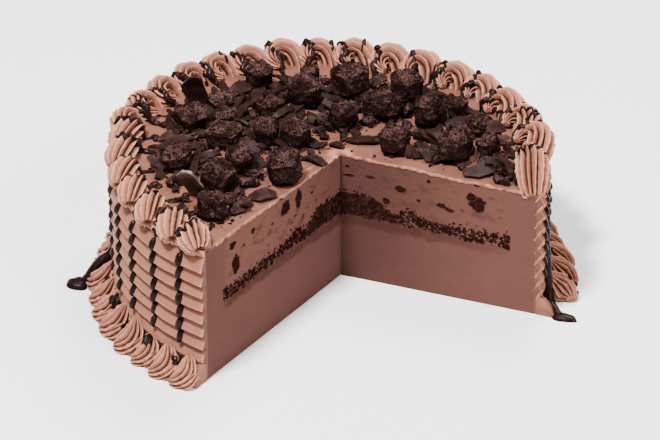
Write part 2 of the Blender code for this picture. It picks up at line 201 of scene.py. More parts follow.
class Paint:
    """A Principled material that is built up node by node."""

    def __init__(self, name):
        self.material = bpy.data.materials.new(name)
        self.material.use_nodes = True
        self.tree = self.material.node_tree
        self.shader = self.tree.nodes["Principled BSDF"]
        self.place = self.node("TexCoord", {}).outputs["Object"]

    def put(self, socket, value):
        """Links a socket to another one, or sets its value."""
        if isinstance(value, bpy.types.NodeSocket):
            self.tree.links.new(value, socket)
        else:
            socket.default_value = value

    def node(self, kind, inputs, **settings):
        made = self.tree.nodes.new("ShaderNode" + kind)
        for key, value in settings.items():
            setattr(made, key, value)
        for key, value in inputs.items():
            self.put(made.inputs[key], value)
        return made

    def geometry(self, output):
        return self.node("NewGeometry", {}).outputs[output]

    def attribute(self, name):
        return self.node("Attribute", {}, attribute_name=name).outputs["Fac"]

    def stretched(self, x, y, z):
        return self.node("Mapping", {"Scale": (x, y, z), "Vector": self.place}).outputs["Vector"]

    def clouds(self, size, detail=3.0, rough=0.5, place=None):
        inputs = {"Scale": 1 / size, "Detail": detail, "Roughness": rough, "Vector": place or self.place}
        return self.node("TexNoise", inputs).outputs["Fac"]

    def cells(self, size):
        return self.node("TexVoronoi", {"Scale": 1 / size, "Vector": self.place}).outputs["Distance"]

    def parts(self, vector):
        """The three parts of a vector, across, away and up."""
        return self.node("SeparateXYZ", {0: vector}).outputs

    def level_distance(self, point):
        """How far a place is from an upright line through a point."""
        level = self.node("VectorMath", {0: self.place, 1: (1.0, 1.0, 0.0)}, operation="MULTIPLY")
        inputs = {0: level.outputs[0], 1: (point.x, point.y, 0.0)}
        return self.node("VectorMath", inputs, operation="DISTANCE").outputs["Value"]

    def math(self, operation, a, b=0.0):
        return self.node("Math", {0: a, 1: b}, operation=operation).outputs[0]

    def plus(self, a, b):
        return self.math("ADD", a, b)

    def minus(self, a, b):
        return self.math("SUBTRACT", a, b)

    def times(self, a, b):
        return self.math("MULTIPLY", a, b)

    def ramp(self, value, low, high, start=0.0, end=1.0):
        """Maps low..high smoothly to start..end."""
        inputs = {"Value": value, "From Min": low, "From Max": high, "To Min": start, "To Max": end}
        return self.node("MapRange", inputs, interpolation_type="SMOOTHSTEP").outputs["Result"]

    def mix(self, share, a, b):
        a, b = ((*value, 1.0) if isinstance(value, tuple) else value for value in (a, b))
        return self.node("Mix", {"Factor": share, "A": a, "B": b}, data_type="RGBA").outputs["Result"]

    def finish(self, colour, roughness, relief, bump, shine, soaks_in=0.0):
        """Sets the shader; a little of the light soaks in, as far as the last value says."""
        made = self.node("Bump", {"Distance": bump, "Strength": 1.0, "Height": relief})
        inputs = {
            "Base Color": colour, "Roughness": roughness, "Specular IOR Level": shine,
            "Normal": made.outputs["Normal"],
        }
        if soaks_in:
            inputs.update({"Subsurface Weight": 0.1, "Subsurface Scale": soaks_in})
        for name, value in inputs.items():
            self.put(self.shader.inputs[name], value)
        return self.material


SMOOTH_ICE = (0.099, 0.0430, 0.0350)
UPPER_ICE = (0.106, 0.0450, 0.0345)
BAND_TINT = (0.059, 0.0228, 0.0178)
SMEAR = (0.056, 0.022, 0.017)
# Painted shadow colour for the corner where the two cuts meet
TIP_CORNER_SHADE = (0.030, 0.012, 0.010)
BIT_HALO = (0.050, 0.0185, 0.0145)
# Painted highlight colour for the icing's crests
ICING_CREST_HIGHLIGHT = (0.520, 0.225, 0.150)
ICING_LIGHT = (0.285, 0.116, 0.076)
# Painted shade colour for the icing's folds and grooves
ICING_FOLD_SHADE = (0.052, 0.0185, 0.0122)
ICING_CUT = (0.118, 0.048, 0.0345)
ICING_PATCH = 0.014
# Painted shade on the coat's icing where it faces up
LEVEL_PAINTED_SHADE = 0.36
FUDGE_COLOUR = (0.0085, 0.0032, 0.0025)
CRUMB_DARK = (0.0125, 0.0042, 0.0034)
CRUMB_BROWN = (0.036, 0.0128, 0.0098)
CRUMB_LIGHT = (0.110, 0.042, 0.031)
GLINT = (0.120, 0.054, 0.044)
BROWNIE_DARK = (0.0085, 0.0036, 0.0031)
BROWNIE_LIGHT = (0.100, 0.050, 0.045)
CHOCOLATE = (0.0150, 0.0066, 0.0056)
# Painted reflection: a lighter chocolate for one shard, as if its face caught the light
CHOCOLATE_PAINTED_REFLECTION = (0.105, 0.0720, 0.0660)
BLACK = (0.0, 0.0, 0.0)
DULL = 0.0
MATT = 0.04
SATIN = 0.07


def tinted(colour, factor):
    return tuple(factor * part for part in colour)


def ice_cream_paint():
    """Cut ice cream: plain below, tinted by the fudge line, lighter and mottled above.

    A mesh's "bit" attribute, 1 in the middle of an inclusion and 0 at its rim, adds the soft dark bits.
    """
    paint = Paint("ice_cream")
    place = paint.parts(paint.place)
    centred = paint.minus(place[0], AXIS.x)
    left_side = paint.ramp(centred, LIFT_ENDS, LIFT_STARTS, 1.0, 0.0)
    wobble = paint.times(paint.minus(paint.clouds(0.012), 0.5), 0.006)
    height = paint.minus(paint.plus(place[2], wobble), paint.times(left_side, LEFT_LIFT))
    inside = paint.ramp(paint.level_distance(AXIS), CORE_RADIUS - 0.0050, CORE_RADIUS + 0.0005, 1.0, 0.0)

    # The band that the fudge line tints, thinner to the right
    lower = paint.ramp(height, FUDGE_BOTTOM - 0.0008, FUDGE_BOTTOM + 0.0028)
    upper = paint.ramp(height, FUDGE_TOP + 0.002, FUDGE_TOP + 0.004)
    band = paint.times(paint.minus(lower, upper), inside)
    band = paint.times(band, paint.ramp(paint.clouds(0.0045, 3.0, 0.6), 0.34, 0.60, 0.65, 1.0))
    band = paint.times(band, paint.ramp(centred, 0.045, 0.105, 1.0, 0.35))

    # Plain below, smeared above, and lighter there on the left
    mottle = paint.ramp(paint.clouds(0.016, 4.0, 0.6), 0.35, 0.70)
    plain = paint.mix(mottle, SMOOTH_ICE, tinted(SMOOTH_ICE, 1.07))
    smears = paint.ramp(paint.clouds(0.010, 4.0, 0.62, paint.stretched(1.0, 1.0, 1.5)), 0.50, 0.74)
    speckled = paint.mix(left_side, UPPER_ICE, tinted(UPPER_ICE, 1.22))
    speckled = paint.mix(paint.times(smears, 0.75), speckled, SMEAR)
    colour = paint.mix(paint.times(paint.ramp(height, 0.044, 0.052), inside), plain, speckled)
    colour = paint.mix(band, colour, BAND_TINT)

    # Painted shade towards the tip, mostly on the right face, and a painted shadow line in the corner where
    # the two cuts meet
    near = paint.level_distance(AXIS + TIP)
    tip_shade = paint.ramp(near, 0.0, 0.100, 0.62, 0.0)
    tip_shade = paint.times(tip_shade, paint.ramp(centred, TIP.x - 0.002, TIP.x + 0.001, 0.22, 1.0))
    colour = paint.mix(tip_shade, colour, tinted(SMOOTH_ICE, 0.35))
    corner_shade = paint.ramp(near, 0.0004, 0.0010, 0.75, 0.0)
    colour = paint.mix(paint.times(corner_shade, paint.ramp(place[2], 0.052, 0.060)), colour, TIP_CORNER_SHADE)

    # Inclusions with a torn rim and a soft halo
    bit = paint.attribute("bit")
    torn = paint.times(paint.minus(paint.clouds(0.0018, 4.0, 0.7), 0.5), 0.9)
    bit = paint.plus(bit, paint.times(torn, paint.ramp(bit, 0.0, 0.3)))
    colour = paint.mix(paint.ramp(bit, 0.06, 0.34), colour, BIT_HALO)
    colour = paint.mix(paint.ramp(bit, 0.22, 0.36), colour, CRUMB_DARK)
    baked = paint.times(paint.ramp(paint.clouds(0.0026, 3.0, 0.6), 0.49, 0.60), paint.ramp(bit, 0.5, 0.8))
    colour = paint.mix(baked, colour, tinted(CRUMB_BROWN, 0.8))

    grain = paint.clouds(0.0011, 3.0, 0.7)
    drawn = paint.clouds(0.006, 3.0, 0.6, paint.stretched(0.5, 0.5, 1.3))
    relief = paint.plus(grain, paint.times(drawn, 1.2))
    return paint.finish(colour, paint.ramp(grain, 0.3, 0.7, 0.50, 0.66), relief, 0.00016, DULL, 0.001)


def icing_paint(name, level_painted_shade=0.0):
    """Whipped icing: a painted highlight on its crests, painted shade in its folds, and deeper in patches.

    A mesh's "cut" attribute is 1 where the knife went through it. Level places get the given amount of
    painted shade.
    """
    paint = Paint(name)
    tone = paint.ramp(paint.clouds(ICING_PATCH, 4.0, 0.55), 0.30, 0.72)
    # Pointiness paints a highlight on the crests and shade in the folds
    curved = paint.geometry("Pointiness")
    base = paint.mix(tone, ICING_LIGHT, tinted(ICING_LIGHT, 0.84))
    base = paint.mix(paint.ramp(curved, 0.52, 0.60), base, ICING_CREST_HIGHLIGHT)
    colour = paint.mix(paint.ramp(curved, 0.435, 0.525), ICING_FOLD_SHADE, base)
    facing = paint.parts(paint.geometry("Normal"))
    # Painted shade where the surface faces up
    colour = paint.mix(paint.ramp(facing["Z"], 0.88, 0.98, 0.0, level_painted_shade), colour, BLACK)
    colour = paint.mix(paint.attribute("cut"), colour, paint.mix(tone, ICING_CUT, tinted(ICING_CUT, 1.25)))
    grain = paint.clouds(0.0007, 3.0, 0.65)
    pores = paint.ramp(paint.cells(0.0022), 0.05, 0.22)
    relief = paint.plus(grain, paint.times(pores, 0.8))
    return paint.finish(colour, paint.ramp(grain, 0.3, 0.7, 0.36, 0.52), relief, 0.00012, MATT, 0.0015)


def fudge_paint():
    paint = Paint("fudge")
    tone = paint.ramp(paint.clouds(0.006, 2.0), 0.35, 0.7)
    colour = paint.mix(tone, FUDGE_COLOUR, tinted(FUDGE_COLOUR, 1.8))
    roughness = paint.ramp(tone, 0.0, 1.0, 0.22, 0.40)
    return paint.finish(colour, roughness, paint.clouds(0.003, 2.0), 0.0003, SATIN)


def crumb_paint(name, dark, light, size, on_top=0.30):
    """Baked crumb: dark pits with lighter brown grains standing out of them, most of all on top."""
    paint = Paint(name)
    swell = paint.math("ABSOLUTE", paint.minus(paint.clouds(size, 4.0, 0.65), 0.5))
    threads = paint.ramp(swell, 0.005, 0.050, 1.0, 0.0)
    grains = paint.ramp(paint.cells(size * 0.9), 0.15, 0.60, 1.0, 0.0)
    patches = paint.ramp(paint.clouds(0.008, 3.0, 0.6), 0.38, 0.60, 0.12, 1.0)
    up = paint.parts(paint.geometry("Normal"))["Z"]
    upward = paint.ramp(up, -0.1, 0.75, on_top, 1.0)
    share = paint.times(paint.math("MAXIMUM", threads, paint.times(grains, 0.6)), upward)
    colour = paint.mix(paint.times(share, patches), dark, light)
    relief = paint.plus(paint.times(grains, upward), paint.clouds(size * 0.6, 4.0, 0.7))
    return paint.finish(colour, paint.ramp(up, -0.1, 0.8, 0.45, 0.75), relief, 0.0007, DULL)


def between_paint():
    """What shows between the crumbs: dark at the tip, with pale glints further out."""
    paint = Paint("crunch_between")
    outside = paint.ramp(paint.level_distance(AXIS + TIP), 0.028, 0.048, 0.12, 1.0)
    glints = paint.ramp(paint.clouds(0.0019, 3.0, 0.6), 0.46, 0.56)
    colour = paint.mix(outside, tinted(CRUMB_DARK, 1.5), CRUMB_BROWN)
    colour = paint.mix(paint.times(glints, outside), colour, GLINT)
    return paint.finish(colour, 0.7, paint.clouds(0.0009, 3.0, 0.7), 0.0003, DULL)


def chocolate_paint(name, base):
    paint = Paint(name)
    bloom = paint.ramp(paint.clouds(0.009, 3.0, 0.6), 0.45, 0.75)
    # Painted highlight: the chocolate is lighter on its sharp edges, where Pointiness is high
    edges = paint.ramp(paint.geometry("Pointiness"), 0.52, 0.62, 0.0, 0.7)
    colour = paint.mix(edges, paint.mix(bloom, base, tinted(base, 2.0)), tinted(base, 4.0))
    roughness = paint.ramp(bloom, 0.0, 1.0, 0.36, 0.55)
    scrape = paint.clouds(0.0012, 3.0, 0.6, paint.stretched(1.0, 0.2, 1.0))
    return paint.finish(colour, roughness, scrape, 0.0002, MATT)


# Meshes

JUST_ABOVE = 0.0002
AT_CUT = 0.00001
UNEVEN = 0.0007
UNEVEN_SIZE = 0.0034
RIDGES_DIFFER = 0.25
FLUTTER = 0.04
FINGER_RINGS = 5
FINGERS_DIFFER = 0.6


def linked(name, data):
    made = bpy.data.objects.new(name, data)
    bpy.context.scene.collection.objects.link(made)
    return made


def piece(name, mesh, paint, slot, smooth):
    """Adds a mesh to the scene as a piece of the part."""
    mesh.materials.clear()
    mesh.materials.append(paint)
    if smooth:
        mesh.shade_smooth()
    made = linked(name, mesh)
    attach(made, "root")
    return made


def mesh_piece(name, points, faces, paint, slot, smooth=True):
    """A piece of the part from points round the cake's own axis."""
    mesh = bpy.data.meshes.new(name)
    mesh.from_pydata([tuple(point) for point in points], [], faces)
    mesh.transform(Matrix.Translation(AXIS))
    return piece(name, mesh, paint, slot, smooth)


def mark(made, name, domain, values):
    """Gives a mesh's points or faces a value that its material reads."""
    made.data.attributes.new(name, "FLOAT", domain).data.foreach_set("value", values)


def sharpen(made, degrees):
    made.data.set_sharp_from_angle(angle=radians(degrees))


def push_out(made, distance):
    """Moves what lies in the two cut faces a little out of the cake."""
    for cut in CUTS:
        for vertex in made.data.vertices:
            if abs((vertex.co - AXIS - TIP).dot(cut.normal)) < AT_CUT:
                vertex.co += cut.normal * distance


class Heap:
    """Points and faces of many small shapes that become one piece."""

    def __init__(self):
        self.points = []
        self.faces = []

    def add(self, points, faces):
        start = len(self.points)
        self.points.extend(points)
        self.faces.extend(tuple(start + i for i in face) for face in faces)

    def piece(self, name, paint, slot, smooth=True):
        return mesh_piece(name, self.points, self.faces, paint, slot, smooth)


def strip_faces(rows, columns):
    """Four-cornered faces between rings of points."""
    faces = []
    for r in range(rows - 1):
        for c in range(columns):
            d = (c + 1) % columns
            faces.append((r * columns + c, r * columns + d, (r + 1) * columns + d, (r + 1) * columns + c))
    return faces


def turned(faces):
    return [tuple(reversed(face)) for face in faces]


def ring_faces(rows, columns):
    """Faces between rings of points, with a cap at both ends."""
    last = (rows - 1) * columns
    caps = [tuple(reversed(range(columns))), tuple(range(last, last + columns))]
    return strip_faces(rows, columns) + caps


def sections_solid(sections):
    """Closed outlines joined one to the next and capped at both ends."""
    points = [point for section in sections for point in section]
    return points, turned(ring_faces(len(sections), len(sections[0])))


def cut_to_cut(name, columns, outline_at, paint, slot, node, smooth=False):
    """A piece from its outline at each direction from the tip, in place of a node."""
    sections = [outline_at(FIRST_CUT + (LAST_CUT - FIRST_CUT) * i / columns) for i in range(columns + 1)]
    made = mesh_piece(name, *sections_solid(sections), paint, slot, smooth)
    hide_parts(node)
    return made


def in_millimetres(*rows):
    """Stations of a path from rows of x, y, z and radius."""
    scaled = [[value * MM for value in row] for row in rows]
    return [(Vector(row[:3]), row[3]) for row in scaled]


def along_path(stations, steps):
    """Points and radii on a smooth path through stations of (point, radius)."""
    padded = [stations[0], *stations, stations[-1]]
    spans = len(stations) - 1
    found = []
    for i in range(steps + 1):
        t = spans * i / steps
        k = min(int(t), spans - 1)
        t -= k
        weights = (
            -0.5 * t + t**2 - 0.5 * t**3,
            1 - 2.5 * t**2 + 1.5 * t**3,
            0.5 * t + 2 * t**2 - 1.5 * t**3,
            -0.5 * t**2 + 0.5 * t**3,
        )
        near = padded[k : k + 4]
        point = sum((w * s[0] for w, s in zip(weights, near)), Vector())
        radius = sum(w * s[1] for w, s in zip(weights, near))
        found.append((point, radius))
    return found


def swept(path, outline, across, wide=1.0, twist=0.0):
    """Rings round a path: outline gives the sizes round the ring at a share of the path."""
    rings = []
    count = len(path)
    for i, (point, radius) in enumerate(path):
        before = path[max(i - 1, 0)][0]
        after = path[min(i + 1, count - 1)][0]
        along = (after - before).normalized()
        across = (across - across.dot(along) * along).normalized()
        up = along.cross(across)
        share = i / (count - 1)
        sizes = outline(share)
        ring = []
        for k, size in enumerate(sizes):
            turn = tau * k / len(sizes) + twist * share
            ring.append(point + radius * size * (wide * across * cos(turn) + up * sin(turn)))
        rings.append(ring)
    return rings


def ridge_at(t, crest):
    """Height of a ridge at t from groove to groove, leaning over to where its crest is."""
    return (t / crest) ** 0.8 if t < crest else ((1 - t) / (1 - crest)) ** 0.85


def rope(stations, flutes, depth, steps, wide=1.0, twist=0.0, seed=0.0, fine=6, fingers=0.0, crest=0.5):
    """A rope of icing from a star tip: broad ridges with narrow grooves between them.

    At its start the ridges can end free, like fingers of this length.
    """
    sides = flutes * fine
    ridges = [ridge_at(k % fine / fine, crest) for k in range(sides)]

    def outline(share):
        sizes = []
        for k in range(sides):
            own = 1 + RIDGES_DIFFER * noise(Vector((k // fine * 3.7, 4 * share, seed)))
            size = 1 - depth * own * (1 - ridges[k])
            sizes.append(size * (1 + FLUTTER * noise(Vector((k * 0.4, 14 * share, seed)))))
        return sizes

    path = along_path(stations, steps)
    rings = swept(path, outline, Vector((0.0, 1.0, 0.0)), wide, twist)
    if fingers:
        middle = path[0][0]
        forward = (path[1][0] - middle).normalized()
        for i, ring in enumerate(rings[:FINGER_RINGS]):
            fade = (1 - i / FINGER_RINGS) ** 1.5
            for k, point in enumerate(ring):
                own = 1 + FINGERS_DIFFER * noise(Vector((k // fine * 5.1, 9.0, seed)))
                ring[k] = point + forward * (fingers * own * fade * (1 - ridges[k] ** 0.7))
                if i == 0:
                    ring[k] = ring[k].lerp(middle + forward * fingers * 0.3, 0.30)
    points = []
    for (middle, _), ring in zip(path, rings):
        for point in ring:
            away = (point - middle).normalized()
            points.append(point + away * (UNEVEN * ripple(*point, UNEVEN_SIZE, seed)))
    return points, ring_faces(len(rings), sides)


def placed_round(points, angle, radius, height, turn, size):
    place = (
        Matrix.Rotation(angle, 4, "Z")
        @ Matrix.Translation((radius, 0.0, height))
        @ Matrix.Rotation(turn, 4, "Z")
        @ Matrix.Diagonal((size, size, size, 1.0))
    )
    return [place @ point for point in points]


def swelling(angle, fullest, swells):
    return 1 + swells * cos(angle - fullest)


def ball_shape(subdivisions):
    """The points and faces of a ball, which is an icosahedron at 1 subdivision."""
    built = bmesh.new()
    bmesh.ops.create_icosphere(built, subdivisions=subdivisions, radius=1.0)
    points = [vert.co.copy() for vert in built.verts]
    faces = [tuple(vert.index for vert in face.verts) for face in built.faces]
    built.free()
    return points, faces


LUMP = ball_shape(1)
BALL = ball_shape(3)


# The layers at the cut

LAYER_COLUMNS = 96
LAYER_RINGS = 40
LID = ICING_ON_TOP * 0.6
CRUMBS_AT_CUT = 1000
CRUMBS_ABOVE = 60


def layer(name, lower, upper, outer, paint, slot, node):
    """A layer between two heights, from the tip to a radius, seen where the wedge is cut out."""
    def outline_at(direction):
        row = [(spoke(direction, outer, k / LAYER_RINGS), k / LAYER_RINGS) for k in range(LAYER_RINGS + 1)]
        outline = [(point.x, point.y, lower(point, share)) for point, share in row]
        return outline + [(point.x, point.y, upper(point, share)) for point, share in reversed(row)]

    return cut_to_cut(name, LAYER_COLUMNS, outline_at, paint, slot, node)


def ice_cream(paint):
    """The floor and the outer wall, and what lies above the crunch, with no gap between them."""
    def outline_at(direction):
        out = spoke(direction, ICE_RADIUS + 0.0004)
        rim = spoke(direction, CORE_RADIUS)
        return [
            (TIP.x, TIP.y, 0.0),
            (out.x, out.y, 0.0),
            (out.x, out.y, top_at(out.x) - LID),
            (rim.x, rim.y, top_at(rim.x) - LID),
            (rim.x, rim.y, FUDGE_BOTTOM),
            (TIP.x, TIP.y, FUDGE_BOTTOM),
        ]

    cut_to_cut("ice_cream_body", LAYER_COLUMNS, outline_at, paint, "smooth_ice_cream", "base_ice_cream")
    layer(
        "fudge_line", lambda point, share: FUDGE_BOTTOM, lambda point, share: FUDGE_TOP,
        CORE_RADIUS, paint, "fudge", "fudge_layer",
    )
    layer(
        "ice_cream_above", lambda point, share: FUDGE_TOP, lambda point, share: top_at(point.x) - LID,
        CORE_RADIUS, paint, "brownie_ice_cream", "upper_ice_cream",
    )


def crumb(heap, place, size, chance, flat=1.0, normal=None):
    """One uneven grain, flattened along the normal if there is one."""
    points, faces = LUMP
    spin = Matrix.Rotation(chance.uniform(0, tau), 3, Vector((
        chance.uniform(-1, 1), chance.uniform(-1, 1), chance.uniform(-1, 1) + 1e-3
    )).normalized())
    shape = Vector((chance.uniform(0.6, 1.3), chance.uniform(0.6, 1.2), chance.uniform(0.5, 1.0)))
    made = []
    for point in points:
        point = spin @ (point * shape * (chance.uniform(0.8, 1.2) * size / 2))
        if normal:
            point -= normal * point.dot(normal) * (1 - flat)
        made.append(place + point)
    heap.add(made, faces)


def crunch(paint, lighter, between):
    """The crunch as coarse crumbs, packed at both cut faces, over a browner core."""
    def ragged(point, seed):
        return lift(point.x) + 0.0009 * ripple(point.x, point.y, 0.0, 0.0022, seed)

    core = layer(
        "crunch_core",
        lambda point, share: crunch_bottom(share) + 0.0006 + ragged(point, 1.0),
        lambda point, share: crunch_top(share) - 0.0014 + ragged(point, 5.0),
        CORE_RADIUS - 0.0008, between, "cookie_crunch", "crunch_layer",
    )
    push_out(core, 0.00012)
    chance = Random(21)
    heaps = (Heap(), Heap())
    for cut in CUTS:
        length = reach(cut.direction, CORE_RADIUS)
        for _ in range(CRUMBS_AT_CUT):
            share = chance.random() ** 1.25
            low = crunch_bottom(share)
            high = crunch_top(share) - 0.0006
            height = low + (high - low) * chance.betavariate(1.1, 1.1) + chance.uniform(-0.0008, 0.0008)
            place = TIP + cut.along * (length * share)
            place.z = height + lift(place.x)
            size = 0.0010 + 0.0021 * chance.random() ** 1.2
            heap = heaps[chance.random() < 0.10]
            crumb(heap, place + cut.normal * chance.uniform(-0.0004, 0.0001), size, chance, 0.6, cut.normal)
        for _ in range(CRUMBS_ABOVE):
            share = chance.random()
            place = TIP + cut.along * (length * share)
            place.z = crunch_top(share) + lift(place.x) - 0.0006 + abs(chance.gauss(0, 0.0015))
            crumb(heaps[0], place, chance.uniform(0.0008, 0.0020), chance, 0.3, cut.normal)
    heaps[0].piece("crunch_crumbs", paint, "cookie_crunch", smooth=False)
    heaps[1].piece("crunch_bits", lighter, "cookie_crunch", smooth=False)


# Dark bits in the upper ice cream

BIT_PROUD = 0.00012
BIT_SIDES = 48
BIT_RINGS = 12
BIT_CORNERS = 6
BIT_REACH = 1.25
FAINT = 0.24
# Distance from the tip, height, length and height across, in millimetres
BITS_RIGHT = (
    (4, 75, 3.5, 2.5), (5, 69, 7.5, 2.2), (18, 70.5, 6.5, 2.2), (37, 66.5, 8, 4.5), (28, 56.5, 6, 5.5),
    (54, 75, 2.5, 3), (48, 61, 3, 2.4), (62, 60.5, 7, 3.6), (67, 58.5, 6, 2.6), (84, 66, 12.5, 12),
    (80, 70, 7, 6), (83, 78.5, 4, 2.2),
)
FAINT_RIGHT = (
    (22, 64, 6, 3), (45, 67, 8, 2), (58, 71, 6, 2.4), (92, 72, 8, 3), (70, 72, 7, 2.4), (12, 62, 9, 5),
    (98, 60, 5, 3), (33, 72, 5, 2), (75, 60, 6, 4),
)
BITS_LEFT = (
    (56.5, 74, 11, 11), (43.4, 73.5, 7, 14), (89, 75, 4.5, 4), (109, 75.5, 7, 6), (106, 62, 8, 16),
    (39, 60, 3.5, 2.4), (60, 82, 3.5, 2.4), (70, 70, 2.4, 2.0), (47, 64, 3.0, 2.0), (98, 70, 2.2, 2.6),
    (30, 71, 2.6, 1.8),
)
FAINT_LEFT = (
    (51, 61, 9, 5), (57, 58, 8, 4), (45, 66, 7, 4), (62, 56, 8, 4), (66, 63, 6, 3), (40, 58, 9, 6),
    (34, 63, 7, 4), (74, 58, 8, 3), (80, 63, 5, 3), (26, 64, 8, 5), (88, 66, 4, 3), (95, 58, 5, 3),
)


def flat_bit(heap, shares, cut, bit, strength, chance):
    """A broken dark bit flush with a cut face; shares take how far inside its rim each point is."""
    away, height, length, high = (value * MM for value in bit)
    first = chance.uniform(0, tau)
    corners = [(first + tau * (k + chance.uniform(-0.3, 0.3)) / BIT_CORNERS, chance.uniform(0.72, 1.0))
               for k in range(BIT_CORNERS)]
    middle = TIP + cut.along * away + UP * height
    points = [middle + cut.normal * BIT_PROUD]
    shares.append(strength)
    for r in range(1, BIT_RINGS + 1):
        share = r / BIT_RINGS
        proud = BIT_PROUD if r < BIT_RINGS else -BIT_PROUD
        for k in range(BIT_SIDES):
            turn = tau * k / BIT_SIDES
            size = min(out / max(cos(turn - way), 0.2) for way, out in corners)
            size *= BIT_REACH * share
            point = cut.along * (length / 2 * size * cos(turn)) + UP * (high / 2 * size * sin(turn))
            points.append(middle + point + cut.normal * proud)
            shares.append(strength * (1 - share))
    faces = [(0, 1 + k, 1 + (k + 1) % BIT_SIDES) for k in range(BIT_SIDES)]
    faces += [tuple(1 + index for index in face) for face in turned(strip_faces(BIT_RINGS, BIT_SIDES))]
    heap.add(points, faces)


def dark_bits(paint):
    """The bits in the upper ice cream, flush with the cuts and soft at their rims."""
    chance = Random(8)
    heap = Heap()
    shares = []
    for cut, dark, faint in ((RIGHT_CUT, BITS_RIGHT, FAINT_RIGHT), (LEFT_CUT, BITS_LEFT, FAINT_LEFT)):
        for bits, strength in ((dark, 1.0), (faint, FAINT)):
            for bit in bits:
                flat_bit(heap, shares, cut, bit, strength, chance)
    made = heap.piece("dark_bits", paint, "brownie_ice_cream", smooth=False)
    mark(made, "bit", "POINT", shares)


# Icing on the side and top

SIDE_COLUMNS = 520
TOP_RINGS = 26
RIDGE_STEPS = (0.0, 0.04, 0.10, 0.22, 0.38, 0.55, 0.72, 0.86, 0.93, 0.97)
LIP_ENDS = 0.04
GROOVE_STARTS = 0.95
THINNEST_ICING = 0.0004
ICING_PROUD = 0.00022
RIM_STARTS = 0.004
RIM_ENDS = 0.93
RIM_STEPS = 70
# Distance in from the side, rise over the lip and size along a smear of dragged icing
TOOTH = (
    (-0.0002, 0.0058, 0.0003), (0.0008, 0.0044, 0.0007), (0.0022, 0.0022, 0.0009),
    (0.0038, -0.0006, 0.0007), (0.0052, -0.0030, 0.0003),
)


def comb_depth(t):
    """How far in the side is, from one lip at 0 to just under the next at 1."""
    if t < LIP_ENDS:
        return 0.0003
    if t > GROOVE_STARTS:
        return RIDGE_DEPTH * 1.15
    return RIDGE_DEPTH * 1.25 * ((t - LIP_ENDS) / (GROOVE_STARTS - LIP_ENDS)) ** 1.35


def lip_at(k, way):
    """Height of a ridge's lip, which wanders and tears a little on its way round."""
    lip = LOWEST_LIP + RIDGE_PITCH * k
    lip += 0.0007 * ripple(way, 0.0, 9.0 * k, 0.022, k)
    return lip + 0.00025 * ripple(way, 0.0, 9.0 * k, 0.005, 20 + k)


def side_points(direction):
    """The combed side from the foot to the rim."""
    way = angle_of(direction, SIDE_RADIUS) * SIDE_RADIUS
    foot = spoke(direction, SIDE_RADIUS - RIDGE_DEPTH)
    points = [(foot.x, foot.y, ICING_FOOT)]
    for k in range(RIDGES):
        lip = lip_at(k, way)
        following = lip_at(k + 1, way)
        proud = 0.0006 * ripple(way, 3.0 * k, 0.0, 0.011, 40 + k)
        proud += 0.0002 * ripple(way, 3.0 * k, 0.0, 0.0025, 60 + k)
        for t in RIDGE_STEPS:
            height = lip + (following - lip) * t
            depth = comb_depth(t) - proud * (1 - t)
            depth += 0.00012 * ripple(way, 0.0, height, 0.0016, 3.0)
            side = spoke(direction, SIDE_RADIUS - depth)
            points.append((side.x, side.y, min(height, top_at(side.x) - THINNEST_ICING)))
    return points


def top_height(point):
    """The spread top: nearly level, with the soft marks of a palette knife."""
    x, y = point.x, point.y
    marks = 0.0007 * ripple(x, y, 0.0, 0.030, 2.0)
    marks += 0.0004 * ripple(x + 0.4 * y, y, 0.0, 0.010, 4.0)
    marks += 0.00015 * ripple(x, y, 0.0, 0.003, 6.0)
    return top_at(x) + marks + JUST_ABOVE


def icing(paint):
    """The combed coat with the spread top, and what the knife left at its edges."""
    def outline_at(direction):
        inner = spoke(direction, ICE_RADIUS)
        outline = [(inner.x, inner.y, ICING_FOOT), *side_points(direction)]
        for k in range(TOP_RINGS + 1):
            point = spoke(direction, SIDE_RADIUS - RIDGE_DEPTH, 1 - k / TOP_RINGS)
            outline.append((point.x, point.y, top_height(point)))
        for k in range(TOP_RINGS + 1):
            point = spoke(direction, ICE_RADIUS, k / TOP_RINGS)
            thick = ICING_ON_TOP * (0.50 + 0.8 * ripple(point.x, point.y, 0.0, 0.005, 9.0))
            outline.append((point.x, point.y, top_height(point) - max(thick, THINNEST_ICING)))
        return outline

    made = cut_to_cut("icing_coat_combed", SIDE_COLUMNS, outline_at, paint, "icing", "icing_coat", True)
    mark(made, "cut", "FACE", [float(len(face.vertices) > 4) for face in made.data.polygons])
    push_out(made, ICING_PROUD)
    sharpen(made, 50)
    cut_teeth(paint)
    return made


def cut_teeth(paint):
    """Where each ridge was cut at the right, the knife dragged its icing down over the cut."""
    chance = Random(77)
    _, along, normal = RIGHT_CUT
    outside = reach(FIRST_CUT, SIDE_RADIUS)
    heap = Heap()
    for k in range(RIDGES + 1):
        lip = LOWEST_LIP + RIDGE_PITCH * (k - 0.35) + chance.uniform(-0.0006, 0.0006)
        drag = chance.uniform(0.8, 1.15)
        stations = []
        for back, rise, size in TOOTH:
            place = TIP + along * (outside - back * drag) + UP * max(lip + rise, 0.0022)
            stations.append((place, size))
        points, faces = rope(stations, 5, 0.25, 14, seed=30.0 + k, fine=4)
        flat = []
        for point in points:
            away = (point - TIP).dot(normal)
            flat.append(point - normal * (away - max(min(away * 0.8, 0.0007), -0.0006)))
        heap.add(flat, faces)
    for cut in CUTS:
        heap.add(*cut_rim(cut))
    heap.piece("cut_icing_teeth", paint, "icing")


